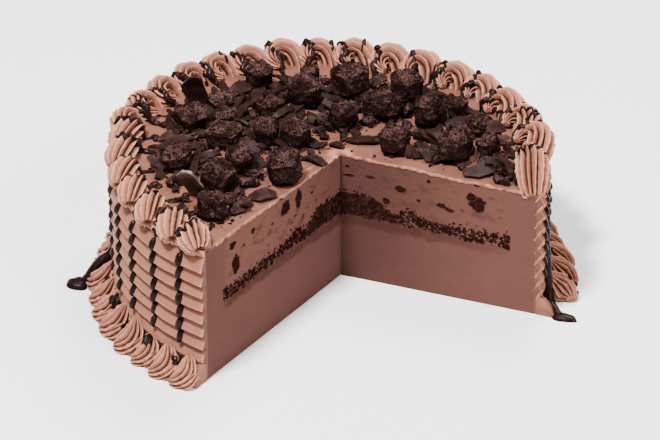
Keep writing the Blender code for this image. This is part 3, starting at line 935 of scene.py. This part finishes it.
def cut_rim(cut):
    """The uneven edge that the knife left where the spread top meets a cut."""
    length = reach(cut.direction, ICE_RADIUS)
    stations = []
    for k in range(RIM_STEPS + 1):
        away = RIM_STARTS + (length * RIM_ENDS - RIM_STARTS) * k / RIM_STEPS
        place = TIP + cut.along * away
        wave = ripple(away, 0.0, 0.0, 0.007, 3.0) + 0.5 * ripple(away, 0.0, 0.0, 0.0026, 9.0)
        place.z = top_height(place) - 0.0006 + 0.0007 * wave
        size = 0.0008 + 0.0005 * ripple(away, 1.0, 0.0, 0.0045, 5.0)
        stations.append((place + cut.normal * 0.0001, max(size, 0.0003)))
    return rope(stations, 4, 0.1, 2 * RIM_STEPS, wide=0.5, seed=8.0, fine=3)


# The piped borders

# Angles between which the swirls are curls, and after which the waves turn less
FIRST_CURL = radians(4)
LAST_CURL = radians(166)
FRONT = radians(206)
LEFT_TURN = radians(24)
FRONT_TURN = radians(10)
CURL_TURN = radians(-38)
WAVE_SIZE = 0.94
LAST_SHIFT = radians(1.6)
RIGHT_SHELLS_OUT = 0.0018
BACK_SHELLS_OUT = 0.0020
FRONT_SHELLS_OUT = 0.0012
CURL_STEPS = 10
PIPED_SIZE = 0.98
PIPED_DEPTH = 0.52
SHELL_DEPTH = 0.42
FOOT_END_CUT = 0.75

# A rope laid from outside the rim inwards, like a wave that curls over
WAVE = in_millimetres(
    (-0.2, 8.0, 1.2, 5.0), (-2.4, 6.0, 2.4, 7.4), (-6.0, 2.6, 3.8, 9.0), (-10.2, -1.2, 4.8, 9.4),
    (-14.2, -4.8, 4.4, 8.6), (-17.2, -7.6, 2.0, 7.2), (-18.6, -9.0, -1.4, 5.0),
)
# A shell piped against the foot of the side: narrow above, fanned out and low outside
SHELL = in_millimetres(
    (-1.0, -2.4, 16.5, 1.6), (0.6, -1.0, 13.8, 4.2), (3.0, 0.8, 9.8, 6.4), (6.2, 1.2, 6.2, 7.4),
    (9.6, -0.2, 4.0, 6.4), (11.8, -2.8, 2.8, 4.4), (12.4, -5.0, 2.2, 2.2),
)
# The second, smaller tuft that each shell ends in
TUFT = in_millimetres(
    (1.6, 7.0, 8.4, 1.8), (5.0, 7.4, 6.6, 3.8), (8.6, 6.4, 4.2, 4.4), (11.2, 4.4, 2.2, 2.4),
)
# Where the border ends at the right cut: angle in degrees, radius, height over the top, size
LAST_ROPE = (
    (-14.4, 0.1204, -0.0036, 0.0064), (-11.0, 0.1184, 0.0010, 0.0094), (-7.0, 0.1170, 0.0040, 0.0104),
    (-2.0, 0.1160, 0.0048, 0.0098), (3.0, 0.1140, 0.0036, 0.0078), (6.5, 0.1120, 0.0010, 0.0034),
)
# The outline of the foot border's cut end, and how it shrinks behind the cut
CORNER = (
    (-0.0036, 0.0002), (0.0070, 0.0002), (0.0070, 0.0022), (0.0052, 0.0054),
    (0.0030, 0.0086), (0.0006, 0.0112), (-0.0018, 0.0120), (-0.0036, 0.0116),
)
CORNER_SHRINKS = ((0.0, 1.0), (0.0012, 1.03), (0.0030, 0.98), (0.0052, 0.86), (0.0072, 0.60), (0.0080, 0.30))
CORNER_OUT = 0.0012


def curl_stations():
    """A rope bent round in a C, so that its ridges lie inside one another."""
    stations = []
    for k in range(CURL_STEPS + 1):
        share = k / CURL_STEPS
        turn = radians(-40 + 235 * share)
        x = -0.0092 + 0.0066 * cos(turn)
        y = -0.0030 + 0.0072 * sin(turn)
        z = 0.0048 - 0.0110 * (1 - min(1.0, 2.6 * share)) ** 2 - 0.0022 * max(0.0, share - 0.5)
        size = 0.0091 * sin(pi * min(1.0, 0.16 + 0.84 * share) ** 0.75) ** 0.6
        stations.append((Vector((x, y, z)), max(size, 0.0020)))
    return stations


def last_swirl():
    """One long rope along the rim, round the cake's axis, in place of the first two swirls."""
    stations = []
    for degrees, radius, rise, size in LAST_ROPE:
        place = around(radius, radians(degrees))
        stations.append((place + UP * (top_at(place.x) + rise), size))
    return rope(stations, 13, 0.50, 60, 1.15, 0.3, 3.0, 8, 0.0014, 0.75)


Swirl = namedtuple("Swirl", "stations flutes twists wide steps fingers crest")
WAVES = Swirl(WAVE, (11, 12, 13), (-0.1, 0.6), 1.18, 44, 0.0026, 0.25)
CURLS = Swirl(curl_stations(), (10, 11, 12), (0.5, 1.2), 1.12, 52, 0.0, 0.75)


def top_border(paint):
    """Nested arcs round the back and right, waves that curl over on the left and in front."""
    chance = Random(11)
    own = Random(12)
    heap = Heap()
    for i, angle in enumerate(TOP_ANGLES):
        size = chance.uniform(0.96, 1.05) * swelling(angle, TOP_FULLEST, TOP_SWELLS) * PIPED_SIZE
        turn = radians(chance.uniform(-8, 8))
        if i < 2:
            continue
        rim = top_at(SIDE_RADIUS * cos(angle))
        if angle > LAST_CURL:
            kind = WAVES
            turn += FRONT_TURN if angle > FRONT else LEFT_TURN
            size *= WAVE_SIZE
        else:
            kind = CURLS
            turn += CURL_TURN
        if i == TOP_UNITS - 1:
            angle -= LAST_SHIFT
        flutes = own.choice(kind.flutes)
        twist = own.uniform(*kind.twists)
        stretch = Vector((own.uniform(0.96, 1.04), own.uniform(0.94, 1.06), own.uniform(0.92, 1.06)))
        stations = [(point * stretch, radius) for point, radius in kind.stations]
        points, faces = rope(
            stations, flutes, PIPED_DEPTH, kind.steps, kind.wide, twist, 7.0 * i, 6, kind.fingers, kind.crest
        )
        heap.add(placed_round(points, angle, SIDE_RADIUS, rim, turn, size), faces)
    heap.add(*last_swirl())
    made = heap.piece("piped_swirls", paint, "icing")
    sharpen(made, 75)
    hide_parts("top_border")
    return made


def bottom_border(paint):
    """Shells at the foot, each with a smaller tuft behind it."""
    chance = Random(5)
    heap = Heap()
    for i, angle in enumerate(FOOT_ANGLES):
        size = chance.uniform(0.94, 1.06) * swelling(angle, FOOT_FULLEST, FOOT_SWELLS)
        turn = radians(chance.uniform(-12, 12))
        outwards = RIGHT_SHELLS_OUT * max(0.0, cos(2 * angle)) * (cos(angle) > 0)
        outwards += max(BACK_SHELLS_OUT * sin(angle), -FRONT_SHELLS_OUT * sin(angle))
        for k, (stations, flutes) in enumerate(((SHELL, 11), (TUFT, 7))):
            points, faces = rope(stations, flutes, SHELL_DEPTH, 24, 1.16, 0.2, 5.0 * i + 200 + k, crest=0.7)
            placed = placed_round(points, angle, SIDE_RADIUS + outwards, 0.0, turn, size)
            for point in placed:
                point.z = max(point.z, JUST_ABOVE)
            heap.add(placed, faces)
    made = heap.piece("piped_shells", paint, "icing")
    sharpen(made, 75)
    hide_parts("bottom_border")
    return made


def foot_ends(paint):
    """The smooth cut ends of the foot border at the two cut faces."""
    heap = Heap()
    for cut in CUTS:
        middle = TIP + cut.along * (reach(cut.direction, SIDE_RADIUS) + CORNER_OUT)
        sections = []
        for back, size in CORNER_SHRINKS:
            outline = []
            for away, high in CORNER:
                place = middle + cut.along * ((away - CORNER_OUT) * size) - cut.normal * (back - 0.0003)
                place.z = max(JUST_ABOVE, high * size)
                outline.append(place + cut.along * (0.0004 * ripple(away, high, back, 0.003)))
            sections.append(outline if cut is RIGHT_CUT else outline[::-1])
        heap.add(*sections_solid(sections))
    made = heap.piece("foot_ends", paint, "icing")
    mark(made, "cut", "FACE", [FOOT_END_CUT] * len(made.data.polygons))


# Fudge

VALLEY_SEARCH = 0.022
DEEPEST_VALLEY = 0.004
OVER_FROM = 0.101
OVER_LONG = 0.027
OVER_STEPS = 20
STREAK_RADII = (0.108, 0.114, 0.120, 0.126, 0.130)
LIGHT_CHAIN = 0.80
LONGEST_DROP = 0.006
CHAIN_ENDS = 0.019
CHAIN_STEP = 0.0006
CHAIN_THREAD = 0.0006
CHAIN_BEAD = 0.0016
BEAD_UNDER_LIP = 0.30
BEAD_HALF = 0.44
POOL_RINGS = 7
POOL_SIDES = 28

# The two places where fudge ran over the foot border and out on the floor, and three drips
STREAMS = (
    in_millimetres(
        (-126.2, 4.0, 25.0, 1.6), (-129.0, 3.0, 19.0, 2.4), (-134.0, 2.0, 15.0, 2.9),
        (-138.5, 1.2, 9.5, 2.9), (-142.0, 0.4, 4.5, 2.7), (-145.0, 0.0, 2.2, 2.2),
    ),
    in_millimetres(
        (125.8, -17.0, 40.0, 1.4), (125.8, -18.0, 28.0, 2.4), (126.2, -19.0, 18.0, 2.8),
        (126.6, -21.5, 9.0, 3.0), (128.0, -26.5, 3.6, 2.9), (130.6, -32.5, 2.4, 2.5),
        (133.0, -36.8, 1.8, 2.0),
    ),
)
BRANCH = ((0.1276, -0.0100), (0.1300, -0.0060), (0.1340, -0.0030), (0.1390, -0.0010))
BESIDE = ((0.1020, 0.0240), (0.1060, 0.0100), (0.1070, -0.0020), (0.1085, -0.0130), (0.1110, -0.0220))
RIM_TURNS = (0.09, 0.03, -0.04, -0.11, -0.18, -0.235)
DRIPS = ((0.1400, -0.0100, 0.0105), (0.1432, -0.0080, 0.0050), (0.1436, -0.0145, 0.0030))


def tree_of(made):
    made.data.calc_loop_triangles()
    points = [vertex.co.copy() for vertex in made.data.vertices]
    faces = [tuple(triangle.vertices) for triangle in made.data.loop_triangles]
    return BVHTree.FromPolygons(points, faces)


def hits(trees, start, way):
    """Where each surface is first met from a place, all round the cake's axis."""
    found = [tree.ray_cast(start + AXIS, way)[0] for tree in trees]
    return [hit - AXIS for hit in found if hit]


def height_at(trees, place):
    """Height of the highest surface over or under a place."""
    return max((hit.z for hit in hits(trees, Vector((place.x, place.y, 0.3)), -UP)), default=None)


def radius_at(trees, angle, height):
    """Radius of the outermost surface at an angle and height."""
    outward = around(1.0, angle)
    found = hits(trees, outward * 0.2 + UP * height, -outward)
    return max((hit.xy.length for hit in found), default=None)


def tube(heap, path, sides=10):
    """A round bead of fudge through (point, radius) pairs."""
    rings = swept(path, lambda share: [1.0] * sides, Vector((0.31, 0.17, 0.93)))
    heap.add([point for ring in rings for point in ring], ring_faces(len(rings), sides))


def valley(trees, angle, radius):
    """The turn and height of the border's lowest place near an angle."""
    turns = [angle + VALLEY_SEARCH * k / 5 for k in range(-5, 6)]
    found = [(turn, height_at(trees, around(radius, turn))) for turn in turns]
    return min((pair for pair in found if pair[1] is not None), key=lambda pair: pair[1], default=None)


def over_border(heap, trees, angle, chance):
    """Fudge that sank into the valley between two swirls, from the top's inside to the rim."""
    wander = chance.uniform(0, 50)
    lowest = top_at(SIDE_RADIUS * cos(angle)) - DEEPEST_VALLEY
    path = []
    turn = angle
    for k in range(OVER_STEPS):
        share = k / (OVER_STEPS - 1)
        radius = OVER_FROM + OVER_LONG * share
        found = valley(trees, angle, radius)
        if found is None or found[1] < lowest:
            break
        turn += 0.6 * (found[0] - turn)
        place = around(radius, turn)
        height = height_at(trees, place)
        if height is None:
            break
        thick = 0.0019 + 0.0016 * noise(Vector((share * 6.0, wander, 3.0))) if k else 0.0
        path.append((place + UP * (height + 0.0001), max(thick, 0.0009)))
    if len(path) > 3:
        tube(heap, path)


def on_surface(heap, trees, places, thick, chance, wave=0.0010):
    """A bead of fudge that lies on whatever is below a path of places."""
    stations = [(Vector((x, y, 0.0)), thick) for x, y, *_ in places]
    steps = 8 * (len(places) - 1)
    path = []
    wander = chance.uniform(0, 50)
    for k, (place, _) in enumerate(along_path(stations, steps)):
        place.x += wave * noise(Vector((0.35 * k, wander, 0.0)))
        place.y += wave * noise(Vector((0.35 * k, wander, 9.0)))
        height = height_at(trees, place) or 0.0
        if path and abs(height - path[-1][0].z) > LONGEST_DROP:
            break
        place.z = height + JUST_ABOVE
        own = 1 + 0.45 * noise(Vector((0.5 * k, wander, 4.0)))
        path.append((place, thick * own * min(1.0, 0.35 + 0.35 * min(k, steps - k))))
    if len(path) > 3:
        tube(heap, path)


def over_ropes(heap, trees, angle, chance):
    """A thin streak thrown across a swirl's outer half."""
    lean = chance.uniform(-0.5, 0.5)
    places = [around(radius, angle + lean * (radius - 0.119) / SIDE_RADIUS) for radius in STREAK_RADII]
    on_surface(heap, trees, places[chance.randint(0, 2):], chance.uniform(0.0007, 0.0012), chance)


def down_side(heap, trees, angle, chance, heavy=1.0):
    """Beads hanging one over each ridge of the side, joined by a thin thread."""
    wander = chance.uniform(0, 50)
    path = []
    height = top_at(SIDE_RADIUS * cos(angle)) - 0.001
    while height > CHAIN_ENDS:
        turn = angle + 0.010 * noise(Vector((height * 60, wander, 7.0)))
        radius = radius_at(trees, turn, height) or SIDE_RADIUS
        ridge = (height - LOWEST_LIP) / RIDGE_PITCH
        phase = (ridge - BEAD_UNDER_LIP) % 1.0
        own = 1 + 0.35 * noise(Vector((round(ridge) * 2.3, wander, 9.0)))
        bead = own * max(0.0, 1 - (min(phase, 1 - phase) / BEAD_HALF) ** 2) ** 0.5
        path.append((around(radius, turn, height), heavy * (CHAIN_THREAD + CHAIN_BEAD * bead)))
        height -= CHAIN_STEP
    tube(heap, path)


def pool(heap, trees, middle, length, width, turn, thick, seed, floor=None):
    """A flat glossy pool that follows what it lies on, or lies on the floor at a given height."""
    points = []
    for r in range(POOL_RINGS + 1):
        share = r / POOL_RINGS
        rise = thick * sqrt(max(0.0, 1 - share**2.6))
        if r == POOL_RINGS:
            rise = -0.0002 if floor is None else 0.0
        for k in range(POOL_SIDES):
            way = tau * k / POOL_SIDES
            edge = 1 + 0.28 * noise(Vector((1.3 * cos(way), 1.3 * sin(way), seed)))
            across = Vector((length / 2 * cos(way), width / 2 * sin(way)))
            place = (Matrix.Rotation(turn, 2) @ (across * share * edge) + middle.xy).to_3d()
            ground = floor if floor is not None else height_at(trees, place) or 0.0
            points.append(place + UP * (ground + rise))
    heap.add(points, turned(ring_faces(POOL_RINGS + 1, POOL_SIDES)[:-1]))


def streams(heap, trees):
    """Where fudge ran over the foot border, and what it left on the right of the top."""
    for stations in STREAMS:
        tube(heap, along_path(stations, 40), 12)
    chance = Random(3)
    on_surface(heap, trees[2:], BRANCH, 0.0027, chance)
    on_surface(heap, trees, BESIDE, 0.0022, chance, 0.0016)
    for radius in (0.1215, 0.1262):
        on_surface(heap, trees, [around(radius, turn) for turn in RIM_TURNS], 0.0014, chance, 0.0012)
    pool(heap, trees, Vector((-0.1476, -0.0004)), 0.0150, 0.0125, 0.1, 0.0036, 3.0, JUST_ABOVE)
    pool(heap, trees, Vector((0.1352, -0.0372)), 0.0165, 0.0085, -0.35, 0.0024, 8.0, JUST_ABOVE)
    for x, y, z in DRIPS:
        tube(heap, along_path([
            (Vector((x - 0.0012, y, z + 0.0016)), 0.0006), (Vector((x, y, z)), 0.0016),
            (Vector((x + 0.0004, y, z - 0.0016)), 0.0007),
        ], 8))
    for angle in (-0.100, -0.155, -0.215):
        down_side(heap, trees, angle, Random(angle), LIGHT_CHAIN)


def fudge(paint, trees):
    """All the fudge: over the border, down the side, and in pools on the top and the foot."""
    chance = Random(17)
    own = Random(40)
    heap = Heap()
    for k, angle in enumerate(TOP_ANGLES[:-1]):
        middle = angle + TOP_PITCH / 2
        if k:
            over_border(heap, trees, middle, chance)
            streaks = own.choice((1, 2)) if angle < TOP_FULLEST else own.choice((0, 1, 1))
            for _ in range(streaks if angle < LAST_CURL else 0):
                over_ropes(heap, trees, angle + TOP_PITCH * own.uniform(-0.4, 0.4), own)
        down_side(heap, trees, middle, chance, LIGHT_CHAIN if angle < FIRST_CURL else 1.0)
        place = around(chance.uniform(0.098, 0.103), middle)
        size = chance.uniform(0.004, 0.008)
        pool(heap, trees, place, size, size * 0.7, chance.uniform(0, 3), 0.0012, chance.uniform(0, 90))
        if chance.random() < 0.7:
            place = around(chance.uniform(0.129, 0.133), middle)
            pool(heap, trees[2:], place, size * 1.1, size, middle, 0.0012, chance.uniform(0, 90))
    streams(heap, trees)
    for point in heap.points:
        point.z = max(point.z, 0.0001)
    heap.piece("fudge_runs", paint, "fudge")


# Toppings

# The shard whose chocolate has a painted reflection
PAINTED_REFLECTION_SHARD = 2
HIGH_SHARD = "chocolate_shard_13"
LONG_HEAP = Vector((-0.057, -0.047, 0.0))
INSIDE_BORDER = 0.103
FREE_SPREAD = 0.013
FREE_SQUARE = 0.1
FREE_ANYWHERE = 0.30
FREE_RISE = 0.003
# How many there are of each kind, and how far they stay from the cuts
SCATTERED = {"grain": (560, 0.004), "chunk": (230, 0.009), "chip": (200, 0.009), "shaving": (130, 0.0125)}


def piece_from_node(name, node, cuts, shift, paint, slot):
    """A finer copy of a node's mesh with each point moved along its normal by shift(point, normal)."""
    built = bmesh.new()
    built.from_mesh(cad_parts[node].data)
    bmesh.ops.remove_doubles(built, verts=built.verts, dist=1e-6)
    for _ in range(cuts):
        bmesh.ops.subdivide_edges(built, edges=built.edges[:], cuts=1, use_grid_fill=True)
        bmesh.ops.triangulate(built, faces=built.faces[:])
    built.normal_update()
    moved = [vert.co + vert.normal * shift(vert.co, vert.normal) for vert in built.verts]
    for vert, place in zip(built.verts, moved):
        place.z = min(place.z, CAD_BOX[1][2])
        vert.co = place
    mesh = bpy.data.meshes.new(name)
    built.to_mesh(mesh)
    built.free()
    made = piece(name, mesh, paint, slot, True)
    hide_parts(node)
    return made


def crumbly(point, normal):
    """Relief of a baked piece: lumps, open pores on top, smoother sides."""
    lumps = 0.0009 * ripple(*point, 0.0058, 1.0)
    grains = 0.0013 * ripple(*point, 0.0026, 3.0)
    fine = 0.0006 * ripple(*point, 0.0012, 5.0)
    open_top = 0.30 + 0.70 * max(0.0, normal.z)
    return lumps + (grains + fine) * open_top - 0.0002


def broken(point, _):
    """Broken chocolate: flat faces with slightly chipped edges."""
    return 0.0003 * ripple(*point, 0.0040, 2.0) + 0.0002 * ripple(*point, 0.0012, 4.0)


def toppings(brown, dark, reflection_painted):
    for i in range(1, BROWNIES + 1):
        made = piece_from_node(f"brownie_chunk_{i:02d}", f"brownie_{i:02d}", 4, crumbly, brown, "brownie")
        sharpen(made, 38)
    for i in range(1, SHARDS + 1):
        # One shard gets the chocolate with a painted reflection
        paint = reflection_painted if i == PAINTED_REFLECTION_SHARD else dark
        node = f"chocolate_shard_{i:02d}"
        made = piece_from_node(f"chocolate_piece_{i:02d}", node, 2, broken, paint, "dark_chocolate")
        sharpen(made, 22)


def chunk(heap, place, size, chance):
    """A broken piece of brownie with flat sides and a crumbly skin."""
    points, faces = BALL
    seed = chance.uniform(0, 50)
    sides = []
    for _ in range(10):
        way = Vector((chance.gauss(0, 1), chance.gauss(0, 1), chance.gauss(0, 1))).normalized()
        sides.append((way, chance.uniform(0.50, 0.80)))
    shape = Vector((chance.uniform(0.8, 1.3), chance.uniform(0.7, 1.1), chance.uniform(0.6, 0.9)))
    spin = Matrix.Rotation(chance.uniform(0, tau), 3, "Z")
    made = []
    for point in points:
        length = min(1.0, *(height / max(point.dot(way), 0.05) for way, height in sides))
        length *= 1 + 0.14 * noise(point * 2.5 + Vector((seed, 0.0, 0.0)))
        length *= 1 + 0.10 * noise(point * 7.0 + Vector((0.0, seed, 0.0)))
        made.append(place + spin @ (point * shape * (length * size * 0.62)))
    heap.add(made, faces)


def flake(heap, place, length, width, thick, chance):
    """A thin shaving, bent along its length and tilted at random."""
    steps = 9
    turn = chance.uniform(0, tau)
    tilt = Matrix.Rotation(turn, 3, "Z") @ Matrix.Rotation(chance.gauss(0, 0.45), 3, "X")
    tilt = tilt @ Matrix.Rotation(chance.gauss(0, 0.25), 3, "Y")
    bend = chance.uniform(-0.5, 0.9)
    twist = chance.uniform(-0.5, 0.5)
    skew = chance.uniform(-0.5, 0.5)
    points = []
    for k in range(steps):
        share = k / (steps - 1)
        along = (share - 0.5) * length
        wide = width / 2 * (0.45 + 0.55 * sin(pi * (0.12 + 0.76 * share)))
        wide *= 1 + 0.30 * chance.uniform(-1, 1)
        arch = bend * length * (0.25 - (share - 0.5) ** 2)
        roll = twist * (share - 0.5)
        for side, level in ((-1, -1), (1, -1), (1, 1), (-1, 1)):
            across = side * wide
            local = Vector((along + skew * across * 0.5, across * cos(roll), arch + across * sin(roll)))
            local.z += level * thick / 2
            points.append(place + tilt @ local)
    heap.add(points, turned(ring_faces(steps, 4)))


def on_top(place, margin):
    """Whether a place is on the cut cake's top, inside the border and this far from the cuts."""
    away = place - TIP
    direction = atan2(away.y, away.x)
    from_first = (direction if direction > FIRST_CUT - 0.3 else direction + tau) - FIRST_CUT
    to_last = LAST_CUT - FIRST_CUT - from_first
    if place.length > INSIDE_BORDER or from_first <= 0 or to_last <= 0:
        return False
    if from_first < 1 and away.length * sin(from_first) < margin:
        return False
    return to_last > 1 or away.length * sin(to_last) > margin


def middle_of(node):
    """The middle of a node's box, round the cake's axis."""
    low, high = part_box(node)
    return (low + high) / 2 - AXIS


def prop_up(heap, shard, chance):
    """Crumbled brownie heaped between the top and a shard that lies high against the border."""
    middle = middle_of(shard)
    for rise, spread, count in ((0.0026, 0.0048, 5), (0.0074, 0.0026, 3)):
        for k in range(count):
            turn = tau * (k + chance.uniform(-0.2, 0.2)) / count
            x = middle.x + 0.7 * spread * cos(turn)
            y = middle.y + spread * sin(turn)
            chunk(heap, Vector((x, y, top_at(x) + rise)), chance.uniform(0.0056, 0.0070), chance)


def free_place(middles, margin, trees, chance):
    """A random place on the spread top, clear of the border and mostly near a brownie."""
    while True:
        middle = chance.choice(middles)
        x = chance.gauss(middle.x, FREE_SPREAD)
        y = chance.gauss(middle.y, FREE_SPREAD)
        if chance.random() < FREE_ANYWHERE:
            x = chance.uniform(-FREE_SQUARE, FREE_SQUARE)
            y = chance.uniform(-FREE_SQUARE, FREE_SQUARE)
        place = Vector((x, y, 0.0))
        if on_top(place, margin):
            height = height_at(trees, place)
            if height is not None and height <= top_at(x) + FREE_RISE:
                return place + UP * height


def top_crumbs(brown, dark, trees):
    """Crumbs, broken pieces and shavings that fell between the toppings."""
    chance = Random(31)
    crumbs = Heap()
    chunks = Heap()
    flakes = Heap()
    middles = [middle_of(f"brownie_{i:02d}") for i in range(1, BROWNIES + 1)] + [LONG_HEAP]
    for kind, (count, margin) in SCATTERED.items():
        for _ in range(count):
            place = free_place(middles, margin, trees, chance)
            if kind == "grain":
                size = 0.0008 + 0.0024 * chance.random() ** 2.0
                crumb(crumbs, place + UP * (size * 0.2), size, chance)
            elif kind == "chunk":
                size = 0.0030 + 0.0065 * chance.random() ** 1.6
                chunk(chunks, place + UP * (size * 0.28), size, chance)
            elif kind == "chip":
                length = chance.uniform(0.004, 0.010)
                width = length * chance.uniform(0.3, 0.6)
                flake(flakes, place + UP * 0.0014, length, width, 0.0011, chance)
            else:
                length = chance.uniform(0.010, 0.021)
                width = length * chance.uniform(0.22, 0.42)
                flake(flakes, place + UP * 0.0034, length, width, 0.0015, chance)
    prop_up(chunks, HIGH_SHARD, Random(13))
    crumbs.piece("loose_crumbs", brown, "brownie", smooth=False)
    pieces = chunks.piece("loose_pieces", brown, "brownie")
    shavings = flakes.piece("loose_flakes", dark, "dark_chocolate")
    for made in (pieces, shavings):
        sharpen(made, 30)


# Floor, light and camera

FLOOR_HALF = 6.0
FLOOR_COLOUR = (0.94, 0.94, 0.94)
WORLD_LIGHT = 0.17
# Name, place, size and power of each lamp
LAMPS = (
    ("key", (-0.75, -0.80, 2.4), 0.42, 194.0),
    ("fill", (1.3, -1.2, 1.9), 0.8, 52.0),
    ("back", (0.5, 1.3, 2.1), 0.9, 60.0),
)
LAMPS_AIM = Vector((0.0, 0.0, 0.04))
CAMERA_AIM = Vector((0.0, 0.0, 0.044))
CAMERA_ELEVATION = radians(31)
CAMERA_DISTANCE = 2.2
CAMERA_LENS = 206.7


def stage():
    mesh = bpy.data.meshes.new("floor")
    corners = [(x * FLOOR_HALF, y * FLOOR_HALF, 0.0) for x, y in ((-1, -1), (1, -1), (1, 1), (-1, 1))]
    mesh.from_pydata(corners, [], [(0, 1, 2, 3)])
    paint = Paint("floor")
    grain = paint.clouds(0.02, 2.0)
    roughness = paint.ramp(grain, 0.0, 1.0, 0.6, 0.7)
    mesh.materials.append(paint.finish((*FLOOR_COLOUR, 1.0), roughness, grain, 0.0, 0.5))
    floor = linked("floor", mesh)

    world = bpy.data.worlds.new("studio")
    world.use_nodes = True
    background = world.node_tree.nodes["Background"]
    background.inputs["Color"].default_value = (1.0, 1.0, 1.0, 1.0)
    background.inputs["Strength"].default_value = WORLD_LIGHT
    bpy.context.scene.world = world

    for name, place, size, power in LAMPS:
        light = bpy.data.lights.new(name, "AREA")
        light.energy = power
        light.size = size
        made = linked(name, light)
        made.location = Vector(place) + AXIS
        made.rotation_euler = (LAMPS_AIM - Vector(place)).to_track_quat("-Z", "Y").to_euler()


def camera():
    view = Vector((0.0, cos(CAMERA_ELEVATION), -sin(CAMERA_ELEVATION)))
    made = linked("camera", bpy.data.cameras.new("camera"))
    made.data.lens = CAMERA_LENS
    made.data.sensor_width = 36.0
    made.data.clip_end = 50.0
    made.location = AXIS + CAMERA_AIM - CAMERA_DISTANCE * view
    made.rotation_euler = view.to_track_quat("-Z", "Y").to_euler()
    bpy.context.scene.camera = made


def main():
    ice_look = ice_cream_paint()
    piping_look = icing_paint("icing")
    # The coat's copy of the icing, with painted shade where it faces up
    coat_look = icing_paint("icing_coat", LEVEL_PAINTED_SHADE)
    crumb_look = crumb_paint("crunch", CRUMB_DARK, CRUMB_BROWN, 0.0016)
    lighter_look = crumb_paint("crunch_light", CRUMB_BROWN, CRUMB_LIGHT, 0.0012, 1.0)
    brownie_look = crumb_paint("brownie", BROWNIE_DARK, BROWNIE_LIGHT, 0.0023, 0.22)
    dark_look = chocolate_paint("chocolate", CHOCOLATE)
    # Chocolate with a painted reflection, for one shard
    reflection_painted_look = chocolate_paint("chocolate_with_painted_reflection", CHOCOLATE_PAINTED_REFLECTION)

    ice_cream(ice_look)
    crunch(crumb_look, lighter_look, between_paint())
    dark_bits(ice_look)
    coat = icing(coat_look)
    upper = top_border(piping_look)
    lower = bottom_border(piping_look)
    foot_ends(piping_look)
    trees = [tree_of(coat), tree_of(upper), tree_of(lower)]
    fudge(fudge_paint(), trees)
    toppings(brownie_look, dark_look, reflection_painted_look)
    top_crumbs(brownie_look, dark_look, trees[:2])
    stage()
    camera()


main()
